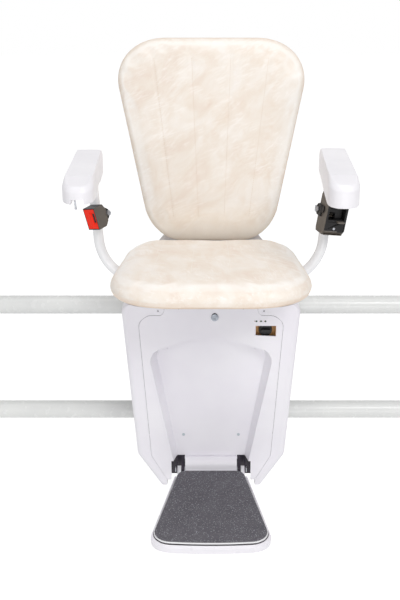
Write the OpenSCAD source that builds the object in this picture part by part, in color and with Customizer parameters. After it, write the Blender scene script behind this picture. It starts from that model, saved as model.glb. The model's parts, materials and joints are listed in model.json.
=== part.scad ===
// Stairlift chair with its carriage on a section of twin-tube rail, in millimetres.
// Origin: centre of the four wall bolts, on the wall face of the rail brackets.
// +X runs along the rail, +Y points into the wall, +Z is up.
// A depth is measured forwards from the plane of the two rail tubes.

/* [Rail] */
// Length of the rail section
rail_length = 1360; // [1180:10:1800]
// Outer diameter of a rail tube
tube_d = 48.3; // [42:0.1:52]
// Wall of a rail tube
tube_wall = 3.2; // [2:0.1:5]
// Distance between the two tube axes
tube_spacing = 307; // [300:1:320]
// Distance from the wall to the tube axes
tube_standoff = 190; // [180:1:260]
// Thickness of a wall bracket's plate
bracket_plate = 6; // [4:0.5:10]
// Width of a wall bracket's plate
bracket_width = 60; // [45:1:80]
// Distance from a bracket's middle to the rail's end
bracket_inset = 25; // [22:1:60]
// Height of the arm that holds a tube
bracket_arm = 30; // [20:1:36]
// Distance between a bracket's two wall bolts
wall_bolt_spacing = 200; // [150:1:230]
// Diameter of a wall bolt hole
wall_bolt_hole = 11; // [8:0.5:14]

/* [Drive] */
// Gear module of rack and pinion
gear_module = 3.5; // [3:0.1:3.8]
// Teeth on the pinion
pinion_teeth = 16; // [16:1:17]
// Width of the pinion's teeth
pinion_width = 9; // [7:0.5:12]
// Height of the rack's back above the lower tube's axis
rack_rise = 6; // [4:0.5:8]
// Depth of the rack's pitch line below the lower tube's axis
rack_drop = 4; // [3:0.5:5]
// Diameter of the drive shaft
shaft_d = 12; // [8:0.5:13]
// Play between meshing teeth
backlash = 0.7; // [0.5:0.05:1]
// Width and height of the gearbox
gearbox_size = 84; // [72:1:96]
// Depth of the gearbox
gearbox_depth = 58; // [45:1:70]
// Diameter of the drive motor
motor_d = 63; // [50:1:72]
// Length of the drive motor
motor_length = 120; // [90:1:150]

/* [Rollers] */
// Distance of the rollers from the carriage's middle
roller_x = 110; // [90:1:125]
// Throat radius of a load or keeper roller
roller_throat = 16; // [13:0.5:18]
// Rim radius of a load or keeper roller
roller_rim = 24.5; // [22:0.5:26]
// Width of a load or keeper roller
roller_width = 34; // [26:1:40]
// Diameter of a roller axle
axle_d = 12; // [8:0.5:16]
// Radius of a guide roller
guide_r = 12.5; // [9:0.5:12.5]
// Height of a guide roller
guide_height = 20; // [14:1:22]
// Diameter of a guide roller's pin
guide_pin_d = 8; // [5:0.5:9]

/* [Carriage body] */
// Width of the body at its top
body_top_width = 426; // [400:1:450]
// Width of the body where its lower corners begin
body_low_width = 366; // [350:1:390]
// Height of the body's top above the rail's middle
body_top = 238; // [238:0.5:242]
// Depth below the rail's middle at which the lower corners begin
body_low = 178; // [170:1:200]
// Depth of the body's lowest tips below the rail's middle
body_tip = 262; // [252:1:275]
// Width between the outer corners of the lowest tips
tip_width = 253; // [250:1:280]
// Depth of the body's front
body_front = 208; // [205:0.5:212]
// Depth of the body's back
body_back = 56; // [56:0.5:60]
// Radius round the front edges
body_round = 14; // [8:1:18]
// Wall of the plastic covers
cover_wall = 3; // [2:0.25:4]
// Thickness of the chassis plate
chassis_plate_t = 6; // [4:0.5:8]
// Gap along the seam between the covers
seam_gap = 0.6; // [0.4:0.05:0.8]
// Width of the front cover at its top corners
seam_top_width = 346; // [330:1:356]
// Width of the front cover at its lower corners
seam_low_width = 301; // [290:1:310]
// Width of the front cover along its bottom edge
seam_foot_width = 224; // [214:1:232]
// Depth of the front cover's bottom edge below the rail's middle
seam_foot = 241.5; // [236:0.5:246]
// Height of the front cover's top corners
seam_top = 204; // [196:1:206]
// Distance of the side covers' screw tabs from the middle
tab_x = 124; // [118:1:130]
// Radius of a screw tab's end
tab_r = 12; // [9:0.5:13]

/* [Footrest recess] */
// Depth of the recess in the front cover
recess_depth = 32; // [28:0.5:34]
// Width of the recess at its shoulders
recess_shoulder_width = 306; // [302:1:312]
// Height of the shoulders
recess_shoulder = 104.6; // [102:0.1:110]
// Height of the arch's peak
recess_peak = 160; // [156:0.5:170]
// Radius of the arch
recess_arch_r = 237; // [180:1:260]
// Width of the recess at its foot
recess_foot_width = 165; // [160:1:170]
// Radius of the roll under the recess
roll_r = 20; // [18:0.5:21]
// Distance of the roll's middle behind the footrest's hinge axis
roll_back = 12; // [11:0.5:13]
// Height of the roll's middle above the hinge axis
roll_rise = 9; // [8:0.5:10]
// Width of the roll under the recess
roll_width = 132; // [126:1:134]
// Width between the outer sides of the hinge cutouts
cutout_width = 202; // [200:1:206]
// Depth of the cutouts' top below the rail's middle
cutout_top = 194; // [192:0.5:196]

/* [Controls on the body] */
// Width of the switch window
window_width = 48.5; // [44:0.5:52]
// Height of the switch window
window_height = 27.5; // [25:0.5:30]
// Distance of the window from the middle
window_x = 132; // [128:0.5:134]
// Height of the window's middle
window_z = 165.5; // [163:0.5:168]
// Diameter of the switch knob
knob_d = 32; // [29:0.5:34]
// Diameter of the key lock's collar
lock_d = 16; // [12:0.5:18]
// Distance of the key lock from the middle
lock_x = 9; // [6:1:14]
// Height of the key lock
lock_z = 201; // [192:1:204]
// Diameter of an indicator lamp
lamp_d = 2.6; // [1.8:0.1:3.2]
// Height of the indicator lamps
lamp_z = 191.5; // [188:0.5:194]

/* [Footrest] */
// Depth of the footrest's hinge axis
foot_axis = 200; // [198:0.5:202]
// Depth of the hinge axis below the rail's middle
foot_axis_drop = 222; // [220:0.5:224]
// Distance of the mat's rear edge in front of the hinge axis
mat_start = 36; // [34:0.5:40]
// Length of the mat along the middle
mat_length = 306; // [280:1:312]
// Width of the mat at the rear
mat_rear_width = 160; // [154:1:164]
// Width of the mat at the front
mat_front_width = 270; // [250:1:274]
// Drop of the mat's top below the rail's middle
mat_drop = 204.6; // [203:0.2:206]
// Thickness of the grip mat
mat_t = 3; // [2:0.25:4]
// Thickness of the footrest plate
plate_t = 3; // [2:0.25:4]
// Rim by which the plate shows round the mat
plate_rim = 2; // [1:0.25:2.5]
// Height of the safety pan
pan_height = 26; // [24:0.5:28]
// Rim by which the safety pan shows round the mat
pan_rim = 9; // [8.5:0.25:9.5]
// Wall of the safety pan
pan_wall = 3; // [2.5:0.25:3.5]
// Gap between plate and safety pan
pan_gap = 3; // [2.5:0.25:4]
// Diameter of the hinge pins
foot_pin_d = 10; // [7:0.5:12]

/* [Seat post and swivel] */
// Depth of the swivel axis
post_depth = 120; // [116:1:124]
// Diameter of the seat post
post_d = 60; // [48:1:66]
// Diameter of the swivel bearing
bearing_d = 104; // [90:1:116]
// Diameter of the swivel spigot
spigot_d = 24; // [18:1:28]
// Height of the swivel hub
hub_height = 31; // [30:0.5:32]
// Width of the swivel hub
hub_width = 130; // [124:1:150]

/* [Seat] */
// Height of the seat cushion's top edge above the rail's middle
seat_top = 343; // [340:1:347]
// Thickness of the seat cushion at its edge
seat_t = 39; // [36:1:41]
// Rise of the seat cushion's crown
seat_crown = 6; // [2:0.5:7]
// Length of the seat cushion
seat_length = 363; // [340:1:380]
// Width of the seat cushion at the rear
seat_rear_width = 376; // [366:1:400]
// Width of the seat cushion at the front
seat_front_width = 468; // [430:1:480]
// Depth of the seat cushion's rear edge
seat_rear = 59; // [58:0.5:62]
// Height of the seat's fold axis
seat_axis_z = 294; // [293:0.5:295]
// Depth of the seat's fold axis
seat_axis = 72; // [71:0.5:74]

/* [Backrest] */
// Height of the backrest cushion's lower edge
back_low = 341; // [339:0.5:346]
// Depth of the backrest cushion's lower front edge
back_depth = 25; // [20:0.5:27]
// Length of the backrest cushion
back_length = 490; // [460:1:520]
// Width of the backrest cushion at the bottom
back_low_width = 294; // [280:1:310]
// Width of the backrest cushion at the top
back_top_width = 492; // [460:1:500]
// Thickness of the backrest cushion at its edge
back_t = 34; // [28:1:38]
// Rise of the backrest cushion's crown
back_crown = 6; // [2:0.5:8]
// Recline of the backrest, in degrees
recline = 10; // [8:0.5:12]
// Thickness of the backrest's shell
back_board_t = 12; // [8:0.5:16]

/* [Arms] */
// Diameter of an arm tube
arm_tube_d = 25; // [20:0.5:26]
// Distance of the armrest's pivot from the middle
arm_pivot_x = 284; // [276:1:292]
// Height of the armrest's pivot
arm_pivot_z = 557; // [545:1:575]
// Bend radius of an arm tube
arm_bend = 115; // [90:1:130]
// Outward lean of an arm tube, in degrees
arm_lean = 3.8; // [1:0.2:4.4]
// Length of an armrest
armrest_length = 326; // [300:1:350]
// Width of an armrest
armrest_width = 60; // [54:1:66]
// Height of an armrest at its rear
armrest_height = 55; // [52:1:60]
// Height of an armrest at its front
armrest_nose = 47; // [44:1:50]
// Length of an armrest behind its pivot
armrest_tail = 20; // [19:0.5:24]
// Wall of an armrest's shell
armrest_wall = 4; // [3:0.25:5]

/* [Belt] */
// Width of the buckle housing
buckle_width = 33; // [30:0.5:38]
// Height of the buckle housing
buckle_height = 54; // [48:0.5:60]
// Depth of the buckle housing
buckle_depth = 34; // [28:0.5:38]
// Width of the belt reel's housing
reel_width = 54; // [48:0.5:60]
// Height of the belt reel's housing
reel_height = 100; // [88:0.5:106]
// Depth of the belt reel's housing
reel_depth = 46; // [40:0.5:52]
// Diameter of the belt anchor bolts
anchor_d = 10; // [6:0.5:12]

/* [Fits] */
// Radial play of a running fit
fit = 0.05; // [0.02:0.01:0.1]
// Clearance between pieces that don't touch
gap = 0.3; // [0.2:0.05:0.4]
// Travel of the press button
button_travel = 4; // [2:0.5:5]

/* [Hidden] */

$fn = 48;
over = 1;
arc_steps = 7;
layer = 0.4;

tube_r = tube_d / 2;
tube_y = -tube_standoff;
upper_z = tube_spacing / 2;
lower_z = -tube_spacing / 2;
bracket_x = rail_length / 2 - bracket_inset;

rack_z = lower_z - rack_drop;
rack_width = pinion_width + gear_module;
rack_seat = gear_module;
pinion_r = gear_module * pinion_teeth / 2;
tooth_top_share = 0.8;
tooth_foot_share = 1.05;
pressure_angle = 20;
pinion_z = rack_z - pinion_r;
pinion_back = tube_y + tube_r + gap + pinion_width;
rack_tooth_count = floor((rail_length - 2 * bracket_inset - 2 * bracket_width) / (PI * gear_module) / 2) * 2;

chassis_y = tube_y - body_back;
front_y = tube_y - body_front;
roller_lift = tube_r + roller_throat + gap;
guide_depth = tube_r + guide_r + gap;
post_y = tube_y - post_depth;
axle_r = axle_d / 2;
washer_t = axle_d / 4;

lobe_z = seam_top + tab_r;
recess_floor_share = 0.9;
recess_y = front_y + recess_depth;
roll_z = -foot_axis_drop + roll_rise;
foot_y = tube_y - foot_axis;
foot_z = -foot_axis_drop;
roll_y = foot_y + roll_back;
mat_y = foot_y - mat_start;
plate_top = -mat_drop - mat_t;
plate_base = plate_top - plate_t;
pan_top = plate_base - pan_gap;
foot_pin_r = foot_pin_d / 2;
hanger_x = roll_width / 2 + 2;
hanger_t = 8;
knuckle_t = 6;
knuckle_x = hanger_x + hanger_t + gap;
pan_ear_t = 3;
pan_ear_x = knuckle_x + knuckle_t + gap;
stay_x = pan_ear_x + pan_ear_t + gap;
stay_t = 3;
hinge_pin_length = stay_x + stay_t + 1 - hanger_x;
boss_r = foot_pin_r + 4;

bearing_t = 4;
bearing_z = body_top + 4;
hub_z = bearing_z + bearing_t + gap;
hub_top = hub_z + hub_height;
arm_tube_r = arm_tube_d / 2;
arm_z = hub_z + hub_height / 2;
arm_socket = arm_tube_d - 3;
frame_x = 72;
frame_width = 20;
frame_t = 8;
frame_top = hub_top + frame_t;
buffer_t = 2.4;
seat_pan_z = frame_top + buffer_t + gap;
seat_base = seat_top - seat_t;
seat_pan_t = seat_base - gap - seat_pan_z;
seat_y = tube_y - seat_rear;
seat_pin_r = 4;
lever_pin_r = 3;
lever_x = hub_width / 2 - 4 * lever_pin_r;
lever_y = post_y - 2 * arm_tube_d;
lever_z = arm_z + 2;
lever_length = 130;
lever_width = 12;
lever_t = 4;
seat_axis_y = tube_y - seat_axis;
ear_t = 5;
ear_r = seat_pin_r + 3;

back_y = tube_y - back_depth;
back_tilt = 90 - recline;
arm_top_y = post_y;
bend_z = arm_z + arm_bend * (1 - sin(arm_lean));
bend_x = arm_pivot_x - (arm_pivot_z - bend_z) * tan(arm_lean) - arm_bend * cos(arm_lean);
arm_straight = (arm_pivot_z - bend_z) / cos(arm_lean) + arm_tube_r * 0.9;
armrest_top = armrest_height - 26.5;
armrest_pin_r = 5;
slot_half = arm_tube_r + 1.5;
core_share = 0.8;

buckle_z = 434;
buckle_lean = 17;
buckle_yaw = -36;
reel_z = 446;
reel_lean = 14;
reel_yaw = 18;
anchor_r = anchor_d / 2;
clamp_t = 4;
buckle_stand = arm_tube_r + clamp_t + buckle_depth / 2 + 7;
reel_stand = arm_tube_r + clamp_t + reel_depth / 2 + 3;

// A point's unit vector, and the polygon helpers that round and inset an outline.
// An outline is a list of [x, y, corner radius] that runs anticlockwise.
function unit(v) = v / norm(v);
function flat(p) = [p.x, p.y];
function normal(a, b) = let (d = unit(b - a)) [d.y, -d.x];
function before(p, k) = flat(p[(k + len(p) - 1) % len(p)]);
function after(p, k) = flat(p[(k + 1) % len(p)]);
function inset(p, depth) = [for (k = [0:len(p) - 1])
    let (m = normal(before(p, k), flat(p[k])), n = normal(flat(p[k]), after(p, k)))
    let (q = flat(p[k]) - depth * (m + n) / (1 + m * n))
    [q.x, q.y, max(p[k].z - depth, 0)]];
function half_turn(a) = (a + 540) % 360 - 180;
function corner(a, b, c, r) =
    let (u = unit(a - b), w = unit(c - b), half = acos(u * w) / 2)
    let (mid = b + unit(u + w) * r / sin(half))
    let (first = b + u * r / tan(half) - mid, last = b + w * r / tan(half) - mid)
    let (start = atan2(first.y, first.x), sweep = half_turn(atan2(last.y, last.x) - start))
    [for (k = [0:arc_steps]) mid + r * [cos(start + sweep * k / arc_steps),
        sin(start + sweep * k / arc_steps)]];
function rounded(p) = [for (k = [0:len(p) - 1])
    each (p[k].z == 0 ? [flat(p[k])] : corner(before(p, k), flat(p[k]), after(p, k), p[k].z))];
function both_sides(h) = concat(h, [for (k = [len(h) - 1:-1:0]) if (h[k].x > 0)
    [-h[k].x, h[k].y, h[k].z]]);

// Extrudes a drawing of the XZ plane towards +Y, and one of the YZ plane towards +X
module along_y(t) translate([0, t, 0]) rotate([90, 0, 0]) linear_extrude(t) children();
module along_x(t) rotate([90, 0, 90]) linear_extrude(t) children();
module rod_x(r, l) rotate([0, 90, 0]) cylinder(r = r, h = l);
module rod_y(r, l) rotate([-90, 0, 0]) cylinder(r = r, h = l);
module mirrored() { children(); mirror([1, 0, 0]) children(); }

// Rail section
module rail_tube(z) color("gainsboro")
    translate([-rail_length / 2, tube_y, z]) difference() {
        rod_x(tube_r, rail_length);
        translate([-over, 0, 0]) rod_x(tube_r - tube_wall, rail_length + 2 * over);
    }

module upper_rail_tube() rail_tube(upper_z);
module lower_rail_tube() rail_tube(lower_z);

module gear_rack() {
    pitch = PI * gear_module;
    length = rack_tooth_count * pitch;
    tip = gear_module * tooth_top_share;
    foot = gear_module * tooth_foot_share;
    land = (pitch - backlash) / 4;
    flank = tan(pressure_angle);
    teeth = [for (k = [0:rack_tooth_count - 1]) let (x = -length / 2 + (k + 0.5) * pitch)
        each [[x - land - foot * flank, foot], [x - land + tip * flank, -tip],
            [x + land - tip * flank, -tip], [x + land + foot * flank, foot]]];
    shape = concat([[-length / 2, foot]], teeth,
        [[length / 2, foot], [length / 2, rack_drop + rack_rise], [-length / 2, rack_drop + rack_rise]]);
    color("silver") difference() {
        translate([0, tube_y + tube_r - rack_seat, rack_z]) along_y(rack_width + gap) polygon(shape);
        translate([-rail_length / 2, tube_y, lower_z]) rod_x(tube_r + fit, rail_length);
    }
}

module wall_bracket() {
    height = tube_spacing + bracket_arm;
    color("whitesmoke") difference() {
        translate([bracket_x - bracket_width / 2, 0, 0]) {
            translate([0, -bracket_plate, -height / 2]) cube([bracket_width, bracket_plate, height]);
            for (z = [upper_z, lower_z])
                translate([bracket_width / 6, tube_y, z - bracket_arm / 2])
                    cube([bracket_width * 2 / 3, tube_standoff - bracket_plate / 2, bracket_arm]);
        }
        for (z = [upper_z, lower_z])
            translate([0, tube_y, z]) rod_x(tube_r + fit, rail_length);
        for (s = [-1, 1])
            translate([bracket_x, -bracket_plate - over, s * wall_bolt_spacing / 2])
                rod_y(wall_bolt_hole / 2, bracket_plate + 2 * over);
    }
}

module wall_bracket_right() wall_bracket();
module wall_bracket_left() mirror([1, 0, 0]) wall_bracket();

// Carriage frame, rollers and drive
body_half = [[tip_width / 2, -body_tip, 10], [body_low_width / 2, -body_low, 30],
    [body_top_width / 2, body_top, 28]];
module body_outline(depth) polygon(rounded(inset(both_sides(body_half), depth)));

module chassis_plate() color("dimgray") difference() {
    translate([0, chassis_y, 0]) along_y(chassis_plate_t)
        body_outline(cover_wall / 3);
    for (x = [-roller_x, roller_x])
        for (z = [upper_z + roller_lift, upper_z - roller_lift])
            translate([x, chassis_y - over, z]) rod_y(axle_r + fit, chassis_plate_t + 2 * over);
    translate([0, chassis_y - over, pinion_z]) rod_y(shaft_d / 2 + over, chassis_plate_t + 2 * over);
}

module roller_axle(z) {
    start = chassis_y - chassis_plate_t;
    stop = tube_y + roller_width / 2 + gap;
    shoulder = tube_y - roller_width / 2 - gap;
    translate([0, start, z]) {
        rod_y(axle_r, stop - start + washer_t);
        rod_y(axle_r + washer_t, chassis_plate_t - gap);
        translate([0, chassis_y + chassis_plate_t - start, 0])
            rod_y(axle_r + washer_t, shoulder - chassis_y - chassis_plate_t);
        translate([0, stop - start, 0]) rod_y(axle_r + washer_t, washer_t);
    }
}

module roller_axles() color("silver") mirrored() translate([roller_x, 0, 0]) {
    roller_axle(upper_z + roller_lift);
    roller_axle(upper_z - roller_lift);
}

module rail_roller(side, z) {
    half = roller_width / 2;
    color("darkslategray") translate([side * roller_x, tube_y - half, z]) rotate([-90, 0, 0])
        rotate_extrude($fn = 96) difference() {
            translate([axle_r + fit, 0]) square([roller_rim - axle_r - fit, roller_width]);
            translate([roller_lift, half]) circle(tube_r + gap);
        }
}

module load_roller_left() rail_roller(-1, upper_z + roller_lift);
module load_roller_right() rail_roller(1, upper_z + roller_lift);
module keeper_roller_left() rail_roller(-1, upper_z - roller_lift);
module keeper_roller_right() rail_roller(1, upper_z - roller_lift);

module guide_roller_forks() {
    ear = guide_pin_d / 2;
    reach = body_back - chassis_plate_t - guide_depth + guide_pin_d;
    color("silver") mirrored() translate([roller_x, tube_y - guide_depth, lower_z]) {
        cylinder(d = guide_pin_d, h = guide_height + 2 * ear + 4 * gap, center = true);
        for (s = [-1, 1])
            translate([-guide_pin_d, guide_depth - body_back + chassis_plate_t,
                s * (guide_height / 2 + ear / 2 + gap) - ear / 2])
                cube([2 * guide_pin_d, reach, ear]);
    }
}

module guide_roller(side) color("darkslategray")
    translate([side * roller_x, tube_y - guide_depth, lower_z - guide_height / 2]) difference() {
        cylinder(r = guide_r, h = guide_height);
        translate([0, 0, -over]) cylinder(r = guide_pin_d / 2 + fit, h = guide_height + 2 * over);
    }

module guide_roller_left() guide_roller(-1);
module guide_roller_right() guide_roller(1);

// Involute flank of the pinion, from the root circle to the tooth's tip
function involute(a) = tan(a) - a * PI / 180;
function flank_point(r) =
    let (base = pinion_r * cos(pressure_angle), a = acos(min(base / r, 1)))
    let (half = (90 / pinion_teeth) - backlash / 4 / pinion_r * 180 / PI)
    let (turn = half + (involute(pressure_angle) - involute(a)) * 180 / PI)
    [r, turn];

module drive_pinion() {
    root = pinion_r - gear_module * tooth_foot_share;
    tip = pinion_r + gear_module * tooth_top_share;
    base = pinion_r * cos(pressure_angle);
    side = concat([[root, flank_point(base)[1]]],
        [for (k = [0:4]) flank_point(base + (tip - base) * k / 4)]);
    tooth = concat(side, [for (k = [len(side) - 1:-1:0]) [side[k][0], -side[k][1]]]);
    gear = [for (n = [0:pinion_teeth - 1]) each [for (p = tooth)
        let (a = 90 - n * 360 / pinion_teeth + p[1]) p[0] * [cos(a), sin(a)]]];
    start = chassis_y - gearbox_depth * 0.6;
    color("silver") translate([0, 0, pinion_z]) {
        translate([0, pinion_back - pinion_width, 0]) along_y(pinion_width) polygon(gear);
        translate([0, start, 0]) rod_y(shaft_d / 2, pinion_back - start);
    }
}

module gearbox() color("slategray") difference() {
    translate([0, chassis_y - gearbox_depth, pinion_z]) {
        translate([-gearbox_size / 2, 0, -gearbox_size / 3]) cube([gearbox_size, gearbox_depth, gearbox_size]);
        rod_y(gearbox_size / 3, gearbox_depth);
    }
    translate([0, chassis_y - gearbox_depth * 0.6 - gap, pinion_z])
        rod_y(shaft_d / 2 + fit, gearbox_depth);
}

motor_y = chassis_y - gearbox_depth / 2 - motor_d / 8;
motor_base = pinion_z + gearbox_size * 2 / 3;
hanger_top = motor_base - 30.5;
module drive_motor() color("darkslategray") translate([0, motor_y, motor_base]) {
    cylinder(d = motor_d, h = motor_length - motor_d / 4);
    cylinder(d = motor_d * 0.8, h = motor_length);
}

battery_width = 65;
battery_depth = 94;
battery_height = 151;
module battery(side) color("black")
    translate([side * (motor_d / 2 + battery_width / 2 + 12) - battery_width / 2,
        chassis_y - battery_depth, motor_base]) {
        cube([battery_width, battery_depth, battery_height]);
        for (y = [battery_depth / 4, battery_depth * 3 / 4])
            translate([battery_width / 2, y, battery_height]) cylinder(r = 3, h = 6);
    }

module battery_left() battery(-1);
module battery_right() battery(1);

board_width = 84;
board_height = 56;
board_t = 1.6;
board_chip = 9;
module control_board() color("darkgreen")
    translate([-board_width / 2, chassis_y - board_t, motor_base + motor_length + 8]) {
        cube([board_width, board_t, board_height]);
        for (x = [board_width / 6, board_width / 2, board_width * 3 / 4])
            translate([x, -board_chip, board_height / 3]) cube([board_chip, board_chip, board_chip]);
    }

// Seat post, standing on a bracket from the chassis plate
shelf_z = motor_base + motor_length + board_height + 36;
shelf_t = 8;
module post_bracket() color("dimgray") {
    reach = post_depth - body_back + post_d / 2 + shelf_t;
    translate([-post_d, chassis_y - reach, shelf_z]) cube([2 * post_d, reach, shelf_t]);
    for (x = [-post_d, post_d - shelf_t])
        translate([x, chassis_y, shelf_z]) along_x(shelf_t)
            polygon([[0, 0], [-reach, 0], [0, -reach / 2]]);
}

module seat_post() color("dimgray") translate([0, post_y, 0]) {
    translate([0, 0, shelf_z + shelf_t]) cylinder(d = post_d, h = bearing_z - shelf_z - shelf_t);
    translate([0, 0, bearing_z - bearing_t]) cylinder(d = bearing_d, h = bearing_t);
    translate([0, 0, bearing_z]) cylinder(d = spigot_d, h = hub_height + bearing_t - gap);
}

module swivel_bearing() color("silver") translate([0, post_y, bearing_z]) difference() {
    cylinder(d = bearing_d - 2 * bearing_t, h = bearing_t);
    translate([0, 0, -over]) cylinder(r = spigot_d / 2 + fit, h = bearing_t + 2 * over);
}

// Plastic covers
round_shares = [[0, 1], [0.12, 0.52], [0.35, 0.24], [0.65, 0.06]];
module body_solid(depth) hull() {
    start = front_y + depth + body_round;
    translate([0, start, 0]) along_y(chassis_y + (depth > 0 ? over : 0) - start) body_outline(depth);
    for (s = round_shares)
        translate([0, front_y + depth + s[0] * body_round, 0]) along_y(layer)
            body_outline(depth + s[1] * body_round);
}

module body_shell() difference() {
    body_solid(0);
    body_solid(cover_wall);
}

function recess_x(z) = recess_foot_width / 2
    + (z + body_tip) * (recess_shoulder_width - recess_foot_width) / 2 / (recess_shoulder + body_tip);
module recess_outline(grow) polygon(rounded(inset(both_sides([
    [recess_foot_width / 2, -body_tip, 0],
    [recess_shoulder_width / 2, recess_shoulder, 32],
    [0, recess_peak, recess_arch_r]]), -grow)));

module recess_solid(grow) hull() {
    translate([0, front_y - (grow > 0 ? 0 : over), 0]) along_y(over) recess_outline(grow);
    translate([0, recess_y + grow - layer, 0]) along_y(layer)
        scale([recess_floor_share, 1]) recess_outline(grow);
}

// The part of the body's front that belongs to the front cover
module front_region(grow) {
    span = 2 * body_top;
    difference() {
        union() {
            polygon(rounded(inset(both_sides([[seam_foot_width / 2, -body_tip - span / 8, 0],
                [seam_foot_width / 2, -seam_foot, 0], [seam_low_width / 2, -body_low, 8],
                [seam_top_width / 2, seam_top, 28]]), -grow)));
            translate([-tab_x - grow, 0]) square([2 * (tab_x + grow), span]);
        }
        for (s = [-1, 1]) translate([s * tab_x, lobe_z]) {
            circle(tab_r - grow);
            translate([s > 0 ? 0 : -span, -tab_r + grow]) square([span, 2 * (tab_r - grow)]);
        }
    }
}

lamp_shares = [0, 0.11, 0.46, 0.62, 0.86, 1];
lamp_span = 26.5;
lamp_start = 105.5;
screw_r = 3.6;
screw_shank = 1.8;
screw_places = [[recess_shoulder_width * 0.353, recess_shoulder - 1.6, recess_y],
    [recess_shoulder_width * 0.229, -cutout_top + 60, recess_y],
    [tab_x + tab_r / 4, lobe_z - tab_r / 4, front_y]];

module front_cover() color("white") difference() {
    union() {
        intersection() {
            body_shell();
            translate([0, front_y - over, 0]) along_y(body_front) front_region(0);
        }
        intersection() {
            recess_solid(cover_wall);
            translate([-cutout_width / 2 - over, front_y, -seam_foot])
                cube([cutout_width + 2 * over, recess_depth + cover_wall, body_top]);
        }
        intersection() {
            recess_solid(cover_wall);
            translate([-body_top, front_y, -cutout_top])
                cube([2 * body_top, recess_depth + cover_wall, 2 * body_top]);
        }
        translate([-roll_width / 2, roll_y, roll_z]) rod_x(roll_r, roll_width);
    }
    difference() {
        recess_solid(0);
        translate([-roll_width / 2 - over, roll_y, roll_z]) rod_x(roll_r, roll_width + 2 * over);
    }
    translate([-roll_width / 2 - 2 * over, roll_y, roll_z])
        rod_x(roll_r - cover_wall, roll_width + 4 * over);
    for (s = [0, 1]) mirror([s, 0, 0])
        translate([roll_width / 2, front_y - over, -body_tip - over])
            cube([(cutout_width - roll_width) / 2, body_front, body_tip - cutout_top + over]);
    translate([-body_top, front_y - over, -2 * body_tip])
        cube([2 * body_top, body_front, 2 * body_tip - seam_foot]);
    translate([-roll_width / 2 - over, front_y - over, -2 * body_tip])
        cube([roll_width + 2 * over, body_front, 2 * body_tip + roll_z - roll_r]);
    translate([window_x - window_width / 2, front_y - over, window_z - window_height / 2])
        cube([window_width, cover_wall + 2 * over, window_height]);
    translate([lock_x, front_y - over, lock_z]) rod_y(lock_d / 2 + fit, cover_wall + 2 * over);
    for (s = lamp_shares) translate([lamp_start + lamp_span * s, front_y - over, lamp_z])
        rod_y(lamp_d / 2 + fit, cover_wall + 2 * over);
    translate([0, post_y, body_top - over - cover_wall])
        cylinder(d = bearing_d + 2 * bearing_t, h = cover_wall + 2 * over);
    for (k = [0, 1]) mirrored()
        translate([screw_places[k].x, screw_places[k].z - over, screw_places[k].y])
            rod_y(screw_shank + fit, cover_wall + 2 * over);
}

module side_cover() color("white") difference() {
    intersection() {
        body_shell();
        translate([0, front_y - over, -2 * body_tip]) cube([2 * body_top, body_front + over, 4 * body_tip]);
    }
    translate([0, front_y - 2 * over, 0]) along_y(body_front + over) front_region(seam_gap);
    translate([screw_places[2].x, front_y - over, screw_places[2].y])
        rod_y(screw_shank + fit, cover_wall + 2 * over);
}

module side_cover_right() side_cover();
module side_cover_left() mirror([1, 0, 0]) side_cover();

module cover_screws() color("silver") mirrored() for (p = screw_places)
    translate([p.x, p.z - screw_shank, p.y]) {
        rod_y(screw_r, screw_shank);
        rod_y(screw_shank, screw_shank + cover_wall + over);
    }

// Lock, lamps and power switch behind their openings
module key_lock() color("silver") translate([lock_x, front_y - 2, lock_z]) difference() {
    union() {
        rod_y(lock_d / 2 + 1, 2);
        rod_y(lock_d / 2, 6 * cover_wall);
    }
    translate([0, -over, 0]) rod_y(lock_d / 3 + fit, 6 * cover_wall + 2 + over - cover_wall);
}

module key_cylinder() color("dimgray") translate([lock_x, front_y - 1, lock_z]) difference() {
    rod_y(lock_d / 3, 4 * cover_wall);
    translate([-lock_d / 16, -over, -lock_d / 5]) cube([lock_d / 8, cover_wall, lock_d * 2 / 5]);
}

switch_y = front_y + cover_wall + 16;
module switch_plate() color("peru") {
    translate([window_x - window_width / 2 - cover_wall, switch_y, window_z - knob_d / 2 - cover_wall])
        difference() {
            cube([window_width + 2 * cover_wall, 2, knob_d + 2 * cover_wall]);
            translate([window_width / 2 + cover_wall, -over, knob_d / 2 + cover_wall])
                rod_y(knob_d / 6 + fit, 2 + 2 * over);
        }
    for (x = [-1, 1])
        translate([window_x + x * (window_width / 2 + 1.5) - 1.5, front_y + cover_wall,
            window_z - window_height / 2 - 2])
            cube([3, switch_y - front_y - cover_wall, window_height + 4]);
}

knob_t = 11;
module switch_knob() color("black") translate([window_x, switch_y - gap, window_z]) {
    translate([0, -knob_t, 0]) rod_y(knob_d / 2, knob_t);
    rod_y(knob_d / 6, 4 * gap + 2);
    translate([-knob_d * 0.36, -knob_t - 8, -knob_d / 8]) cube([knob_d * 0.72, 8 + over, knob_d / 4]);
}

module indicator_lamps() for (k = [0:len(lamp_shares) - 1])
    color(k % 2 == 0 ? "red" : "green")
        translate([lamp_start + lamp_span * lamp_shares[k], front_y - gap * 2, lamp_z])
            rod_y(lamp_d / 2, cover_wall + 3 * gap);

// Footrest hinge, carried by the carriage
hanger_back = chassis_y;
web_t = 4;
web_drop = 30;
web_lap = 4;
function hanger_half(thin) = let (lead = foot_y + boss_r * 2.1)
    [[hanger_back, hanger_top], [hanger_back, -cutout_top - 4],
        [lead + 24 - thin, -cutout_top - 8], [foot_y + boss_r * 0.7, foot_z - boss_r * 0.6],
        [foot_y - boss_r * 0.2, foot_z + boss_r * 0.9], [lead, foot_z + boss_r + 9],
        [lead, -cutout_top - 9], [lead + 10, -cutout_top - 1], [lead + 16, -cutout_top + 20]];

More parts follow.
